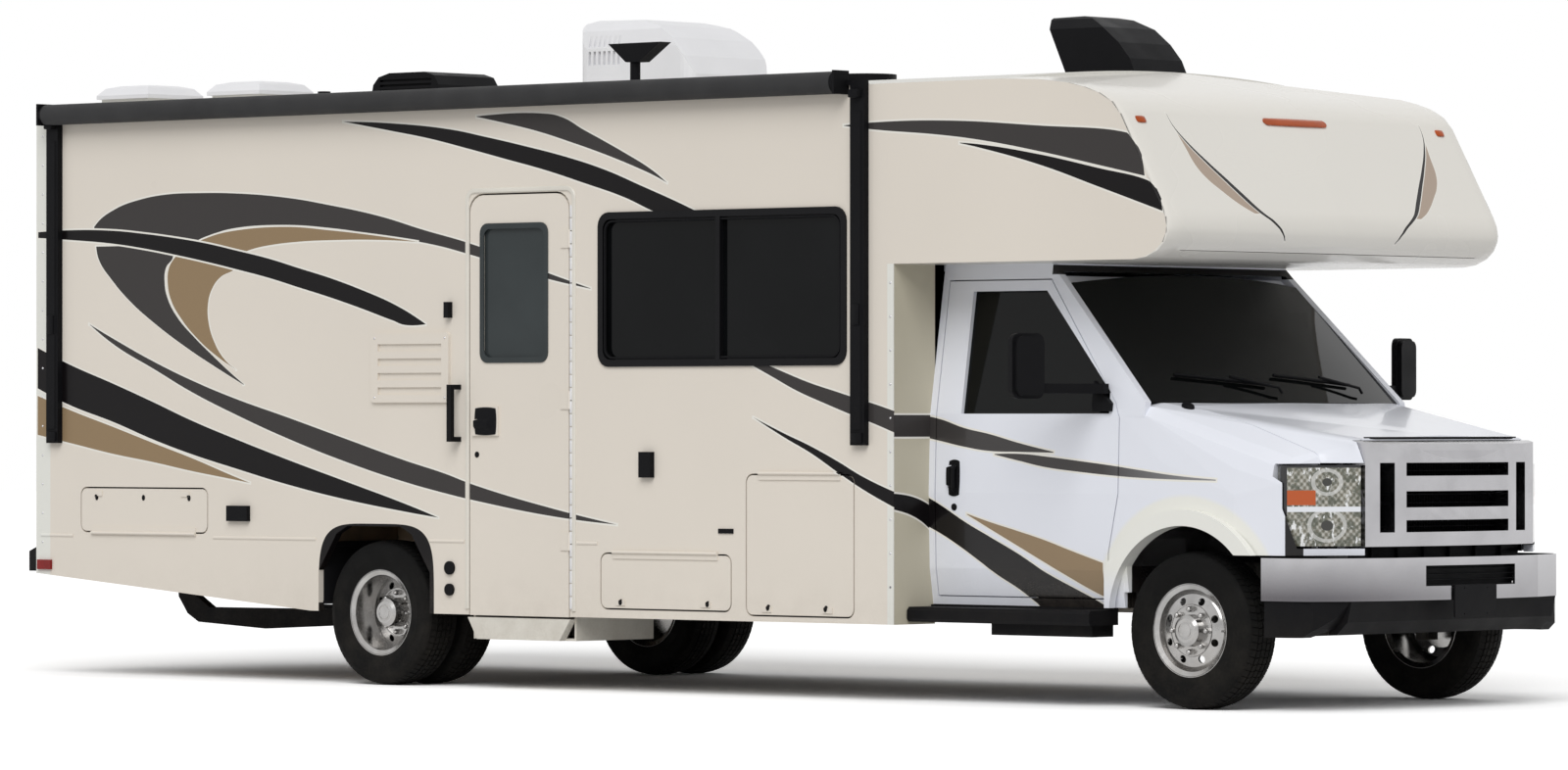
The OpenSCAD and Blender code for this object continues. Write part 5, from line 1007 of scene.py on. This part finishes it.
def awning_dress():
    """The rolled awning cloth on its tube, and the arms' pivots and straps."""
    y, z, steps = -SIDE_Y - 0.058, 2.96, 36
    start_r, growth, cloth = 0.0539, 0.0011, 0.0006
    turns = [(2 * math.pi * i / steps, start_r + growth * i / steps) for i in range(steps + 1)]
    section = [(r * math.cos(a), r * math.sin(a)) for a, r in turns]
    section += [((r - cloth) * math.cos(a), (r - cloth) * math.sin(a)) for a, r in reversed(turns)]
    points = [Vector((x, y + a, z + b)) for x in (-4.07, 1.51) for a, b in section]
    m = len(section)
    faces = quads(2, m)
    for base in (0, m):
        for j in range(steps):
            faces.append((base + j, base + j + 1, base + m - 2 - j, base + m - 1 - j))
    piece("awning_cloth_roll", (points, faces), "roll", "body", 60)
    arm_face = -SIDE_Y - 0.03
    strap_y = arm_face - 0.006
    # Half width, reach outwards, foot, top and bevel of each block
    blocks = ((0.03, 0.04, 2.885, 2.925, 0.006), (0.022, 0.02, 1.80, 1.90, 0.006),
              (0.034, 0.015, 1.235, 1.285, 0.005))
    bars = []
    for x in (-4.061, 1.624):
        bars.append(swept([(x, strap_y, 1.30), (x, strap_y, 2.82)], flat_section(0.03, 0.004)))
        for half, out, foot, top, bevel in blocks:
            bars.append(bevelled((x - half, arm_face - out, foot), (x + half, arm_face, top), bevel))
    piece("awning_arm_fittings", joined(bars), "black", "body")


def cap_lamps():
    """Amber clearance lamps on the front cap: one at each corner and a long one in the middle."""
    def lamp(y, z, size, rise, **form):
        return laid_on("front_cap", (3.2, y, z), (0, 1, 0), (0, 0, 1), size, (-1, 0, 0), rise, **form)

    shapes = [lamp(y, 2.742, (0.06, 0.032), 0.012, round_off=0.5, steps=8) for y in (-1.178, 1.112)]
    shapes.append(lamp(-0.03, 2.758, (0.48, 0.036), 0.014, round_off=0.3, steps=14))
    piece("cap_clearance_lamps", joined(shapes), "amber", "body")


def coach_windows():
    """Beads round the panes of the long window on each side."""
    bead = [(-0.006, -0.004), (0.006, -0.004), (0.004, 0.005), (-0.004, 0.005)]
    bars = []
    for s in (1, -1):
        loop = rounded_loop(-0.062, 1.652, 1.486, 2.326, 0.05, -s * (SIDE_Y + 0.001))
        bars.append(swept(loop, bead, up=(0, -s, 0), closed=True))
    piece("window_pane_beads", joined(bars), "rubber", "body")


def rear_lamp_rims():
    """Bright rims round the coach's two rear lamps."""
    x, half, foot, top = -4.2503, 0.052, 0.81, 1.15
    section = [(-0.006, -0.003), (0.006, -0.003), (0.005, 0.0), (-0.005, 0.0)]
    rims = []
    for y in (-1.14, 1.14):
        loop = [(x, y + a, z) for a, z in ((-half, foot), (half, foot), (half, top), (-half, top))]
        rims.append(swept(loop, section, up=(-1, 0, 0), closed=True))
    piece("rear_lamp_rims", joined(rims), "chrome", "body")


def mud_flaps():
    """Black flaps behind the twin wheels, each with a hem and a hanger bar."""
    outer_y, inner_y, foot = -1.238, -0.72, 0.405
    flap = bevelled((-2.078, outer_y, foot), (-2.071, inner_y, 0.72))
    hem = bevelled((-2.083, outer_y, foot), (-2.070, inner_y, foot + 0.02), 0.004)
    bar = bevelled((-2.086, outer_y, 0.70), (-2.068, -0.70, 0.725))
    side = joined([flap, hem, bar])
    piece("mud_flaps", joined([side, mirrored(side)]), "rubber", "body")


def latches():
    """Dark cam latches on the hatches, and the entry door's black lock plate and key barrel."""
    hatches = (("hatch_rear", 0.94, (-3.747, -3.388, -3.042)), ("hatch_mid", 0.45, (0.046, 0.627)),
               ("hatch_front", 0.44, (1.024, 1.397)))
    for node, z, places in hatches:
        shapes = [side_pad(node, x, z, (0.022, 0.030), round_off=1.0, steps=6) for x in places]
        piece("latch_faces_" + node, joined(shapes), "black", node)
    plate = side_pad("entry_door", -0.875, 1.34, (0.15, 0.14), rise=0.008, round_off=0.3)
    barrel = side_pad("entry_door", -0.946, 1.173, (0.03, 0.03), round_off=1.0, steps=6)
    piece("entry_lock_plate", joined([plate, barrel]), "black", "entry_door")


# Cab
def grille_fins():
    """Dark fins and rails behind the grille's openings."""
    fin = bevelled((-0.012, -0.0012, -0.19), (0.012, 0.0012, 0.19), 0.0008, 1)
    fins = along(fin, [(4.10, -0.56, 1.0), (4.10, 0.56, 1.0)], 0.02, "black")
    rails = []
    for z in (0.85, 0.96, 1.0, 1.11):
        rails.append(bevelled((4.088, -0.575, z - 0.002), (4.112, 0.575, z + 0.002), 0.001, 1))
    piece("grille_fins", joined([fins] + rails), "black", "body")


def bumper_insert():
    """Dark finned intake behind the bumper's slot, and the air dam under the grille."""
    fin = bevelled((-0.012, -0.37, -0.002), (0.012, 0.37, 0.002), 0.0015, 1)
    fins = along(fin, [(4.262, 0, 0.58), (4.262, 0, 0.68)], 0.024, "black")
    plate = bevelled((4.246, -0.375, 0.562), (4.252, 0.375, 0.69), 0.002, 1)
    dam = bevelled((4.072, -0.655, 0.645), (4.080, 0.655, 0.772))
    ribs = []
    for y in (-0.5, -0.3, -0.1, 0.1, 0.3, 0.5):
        ribs.append(bevelled((4.078, y - 0.005, 0.66), (4.096, y + 0.005, 0.76), 0.002, 1))
    piece("bumper_intake", joined([fins, plate, dam] + ribs), "black", "body")


def from_front(node, start, y, z):
    """Where a ray that comes from the front meets a node, or None."""
    hit, spot = NODES[node].ray_cast(Vector((start, y, z)), Vector((-1, 0, 0)))[:2]
    return spot if hit else None


def hood_edge():
    """The black seal under the hood's front edge, and the aerial's foot on the cowl."""
    half, edge_z, steps = 0.585, 1.262, 16
    spots = [from_front("hood", 5, half * (2 * i / steps - 1), edge_z) for i in range(steps + 1)]
    path = [spot + Vector((0.001, 0, 0)) for spot in spots if spot]
    seal = swept(path, [(-0.006, -0.003), (0.006, -0.003), (0.005, 0.004), (-0.005, 0.004)], up=(1, 0, 0.2))
    piece("hood_front_seal", seal, "rubber", "hood")
    foot = laid_on("cab_body", (3.285, -0.85, 1.4), (1, 0, 0), (0, 1, 0), (0.07, 0.045), (0, 0, -1), 0.022,
                   round_off=1.0, steps=8)
    piece("aerial_foot", foot, "black", "body")


def door_fittings():
    """Cab door pulls, key barrels and mirror glass, on each side."""
    grip_x, pad_x = 1.995, 1.986
    grip = [(1.012, 1.13), (1.034, 1.115), (1.036, 1.07), (1.034, 1.02), (1.012, 1.005)]
    for side, label in SIDES:
        door = "cab_door_" + label
        path = [(grip_x, side * y, z) for y, z in grip]
        pull = [side_pad(door, pad_x, 1.07, (0.07, 0.175), side, round_off=0.35),
                swept(path, round_section(0.011), up=(1, 0, 0)),
                side_pad(door, pad_x, 0.931, (0.034, 0.034), side, round_off=1.0, steps=8)]
        piece("cab_door_pull_" + label, joined(pull), "black", door)
        centre, size = (2.9, side * 1.44, 1.60), (0.15, 0.25)
        glass = laid_on("mirror_" + label, centre, (0, 1, 0), (0, 0, 1), size, (1, 0, 0), 0.003, sink=0.002,
                        round_off=0.3)
        piece("mirror_glass_" + label, glass, "mirror", door)


def wipers():
    """Two wipers parked along the foot of the windscreen."""
    out = Vector((0.68, 0, 0.73)).normalized()
    rubber = [(-0.004, -0.008), (0.004, -0.008), (0.006, 0.004), (0, 0.009), (-0.006, 0.004)]
    bends = ((0, 1.46, 0.02), (0.02, 1.475, 0.034), (0.3, 1.53, 0.03))
    blade_start, blade_length, blade_foot, blade_climb, steps = 0.05, 0.58, 1.505, 0.045, 8

    def on_glass(y, z, lift):
        spot = from_front("windscreen", 3.9, y, z)
        return (spot or Vector((3.2, y, z))) + out * lift

    shapes = []
    for pivot in (-0.06, 0.62):
        arm = [on_glass(pivot - y, z, lift) for y, z, lift in bends]
        shapes.append(swept(arm, round_section(0.007, 8), up=out))
        blade = []
        for i in range(steps + 1):
            share = i / steps
            y = pivot - blade_start - blade_length * share
            blade.append(on_glass(y, blade_foot + blade_climb * share, 0.014))
        shapes.append(swept(blade, rubber, up=out))
    piece("wipers", joined(shapes), "black", "body")


def cushion(centre, size, crown, tilt=0.0, channels=()):
    """A padded form with a crowned face and sewn channels; the face looks along +Z before the tilt."""
    squareness, waist, channel_depth, channel_width = 7, 0.05, 0.16, 0.045
    bm = bmesh.new()
    bmesh.ops.create_cube(bm, size=2.0)
    bmesh.ops.subdivide_edges(bm, edges=bm.edges[:], cuts=17, use_grid_fill=True)
    turn = Matrix.Rotation(tilt, 3, "Y")
    for v in bm.verts:
        length = sum(abs(k) ** squareness for k in v.co) ** (1 / squareness)
        a, b, c = (k / length for k in v.co)
        pull = 1 - waist * (1 - abs(c)) * (1 - min(1, abs(abs(a) - abs(b))))
        depth = c * (1 + crown * (1 - a * a) * (1 - b * b))
        if c > 0:
            for spot in channels:
                depth -= channel_depth * math.exp(-((b - spot) / channel_width) ** 2) * (1 - a ** 6) * c
        point = Vector((a * pull * size[0] / 2, b * pull * size[1] / 2, depth * size[2] / 2))
        v.co = turn @ point + Vector(centre)
    shape = shape_of(bm)
    bm.free()
    return shape


def islands(bm):
    """The separate solids of a mesh, each as a list of its points."""
    seen = set()
    for start in bm.verts:
        if start in seen:
            continue
        island, queue = [], [start]
        seen.add(start)
        while queue:
            v = queue.pop()
            island.append(v)
            fresh = {e.other_vert(v) for e in v.link_edges} - seen
            seen |= fresh
            queue += fresh
        yield island


def seats_and_dash():
    """Padded seats on pedestals, and the dash and column from the frame's own solids."""
    bm = bmesh.new()
    bm.from_mesh(NODES["cab_interior"].data)
    bmesh.ops.remove_doubles(bm, verts=bm.verts[:], dist=1e-5)
    seats = []
    for island in islands(bm):
        if min(v.co.x for v in island) < 2.2 and min(v.co.z for v in island) < 1.0:
            seats += island
    bmesh.ops.delete(bm, geom=seats, context="VERTS")
    mesh = bpy.data.meshes.new("dash_and_column")
    bm.to_mesh(mesh)
    bm.free()
    settle("dash_and_column", mesh, "dash", "body", 30, ["cab_interior"])
    seams = (-0.55, 0.55)
    base = []
    for side, label in SIDES:
        y = side * 0.60
        low = cushion((2.42, y, 1.045), (0.5, 0.5, 0.12), 0.12, 0.0, seams)
        back = cushion((2.167, y, 1.40), (0.63, 0.5, 0.1), 0.2, -math.radians(80), seams)
        rest = cushion((2.105, y, 1.80), (0.16, 0.24, 0.09), 0.2, -math.radians(86))
        for name, shape in (("seat_cushion_", low), ("seat_back_", back), ("head_rest_", rest)):
            pad = piece(name + label, shape, "cloth", "body", 60, ["cab_interior"])
        base.append(bevelled((2.21, y - 0.22, 0.772), (2.63, y + 0.22, 0.99), 0.012, 3))
        for post_y in (y - 0.05, y + 0.05):
            post = [(2.10, post_y, 1.66), (2.103, post_y, 1.76)]
            base.append(swept(post, round_section(0.006, 8), up=(0, 1, 0)))
    piece("seat_pedestals", joined(base), "dash", "body", 35, ["cab_interior"])


# Stage
def camera():
    """A long lens from in front of the right side, as in the photograph."""
    data = bpy.data.cameras.new("camera")
    data.lens = 168.75
    data.sensor_width = 36
    data.clip_end = 200
    data.shift_x = -0.00125
    obj = placed("camera", data)
    obj.location = (24.86, -27.58, 1.34)
    obj.rotation_euler = (math.radians(90.283), 0, math.radians(42.04))
    bpy.context.scene.camera = obj


def seen_directly(w):
    """1 for what the camera sees, straight, in a mirror or through glass."""
    path = w.add("ShaderNodeLightPath")
    seen = w.most(path.outputs["Is Camera Ray"], path.outputs["Is Glossy Ray"])
    return w.most(seen, path.outputs["Is Transmission Ray"])


def floor_and_light():
    """A white floor, one broad sun and a white world, dimmer for light than for the eye."""
    reach = 80
    mesh = bpy.data.meshes.new("floor")
    corners = [(-reach, -reach, 0), (reach, -reach, 0), (reach, reach, 0), (-reach, reach, 0)]
    mesh.from_pydata(corners, [], [(0, 1, 2, 3)])
    placed("floor", mesh)
    mat = bpy.data.materials.new("studio_floor")
    mat.use_nodes = True
    w = Wiring(mat.node_tree)
    mat.node_tree.nodes.remove(mat.node_tree.nodes["Principled BSDF"])
    matt = w.add("ShaderNodeBsdfDiffuse")
    w.feed(matt.inputs[0], w.mix(seen_directly(w), (0.75, 0.75, 0.75), (1.4, 1.4, 1.4)))
    w.feed(mat.node_tree.nodes["Material Output"].inputs[0], matt.outputs[0])
    mesh.materials.append(mat)
    sun = bpy.data.lights.new("key", "SUN")
    sun.energy = 1.75
    sun.angle = 0.7
    placed("key", sun).rotation_euler = (math.radians(48), 0, math.radians(33))
    world = bpy.data.worlds.new("studio")
    world.use_nodes = True
    w = Wiring(world.node_tree)
    back = world.node_tree.nodes["Background"]
    back.inputs[0].default_value = (1, 1, 1, 1)
    w.feed(back.inputs[1], w.plus(w.times(seen_directly(w), 0.55), 0.45))
    bpy.context.scene.world = world
    bpy.context.scene.view_settings.view_transform = "Standard"


camera()
floor_and_light()
dress_nodes()
for make in (tyres, wheel_trims, side_trims, hinge_knuckles, screws, awning_dress, cap_lamps, coach_windows,
             grille_fins, bumper_insert, mud_flaps, hood_edge, latches, door_fittings, wipers, seats_and_dash,
             rear_lamp_rims):
    make()
smoothed("front_cap", "cap", "body")
smoothed("hood", "cab", "hood")
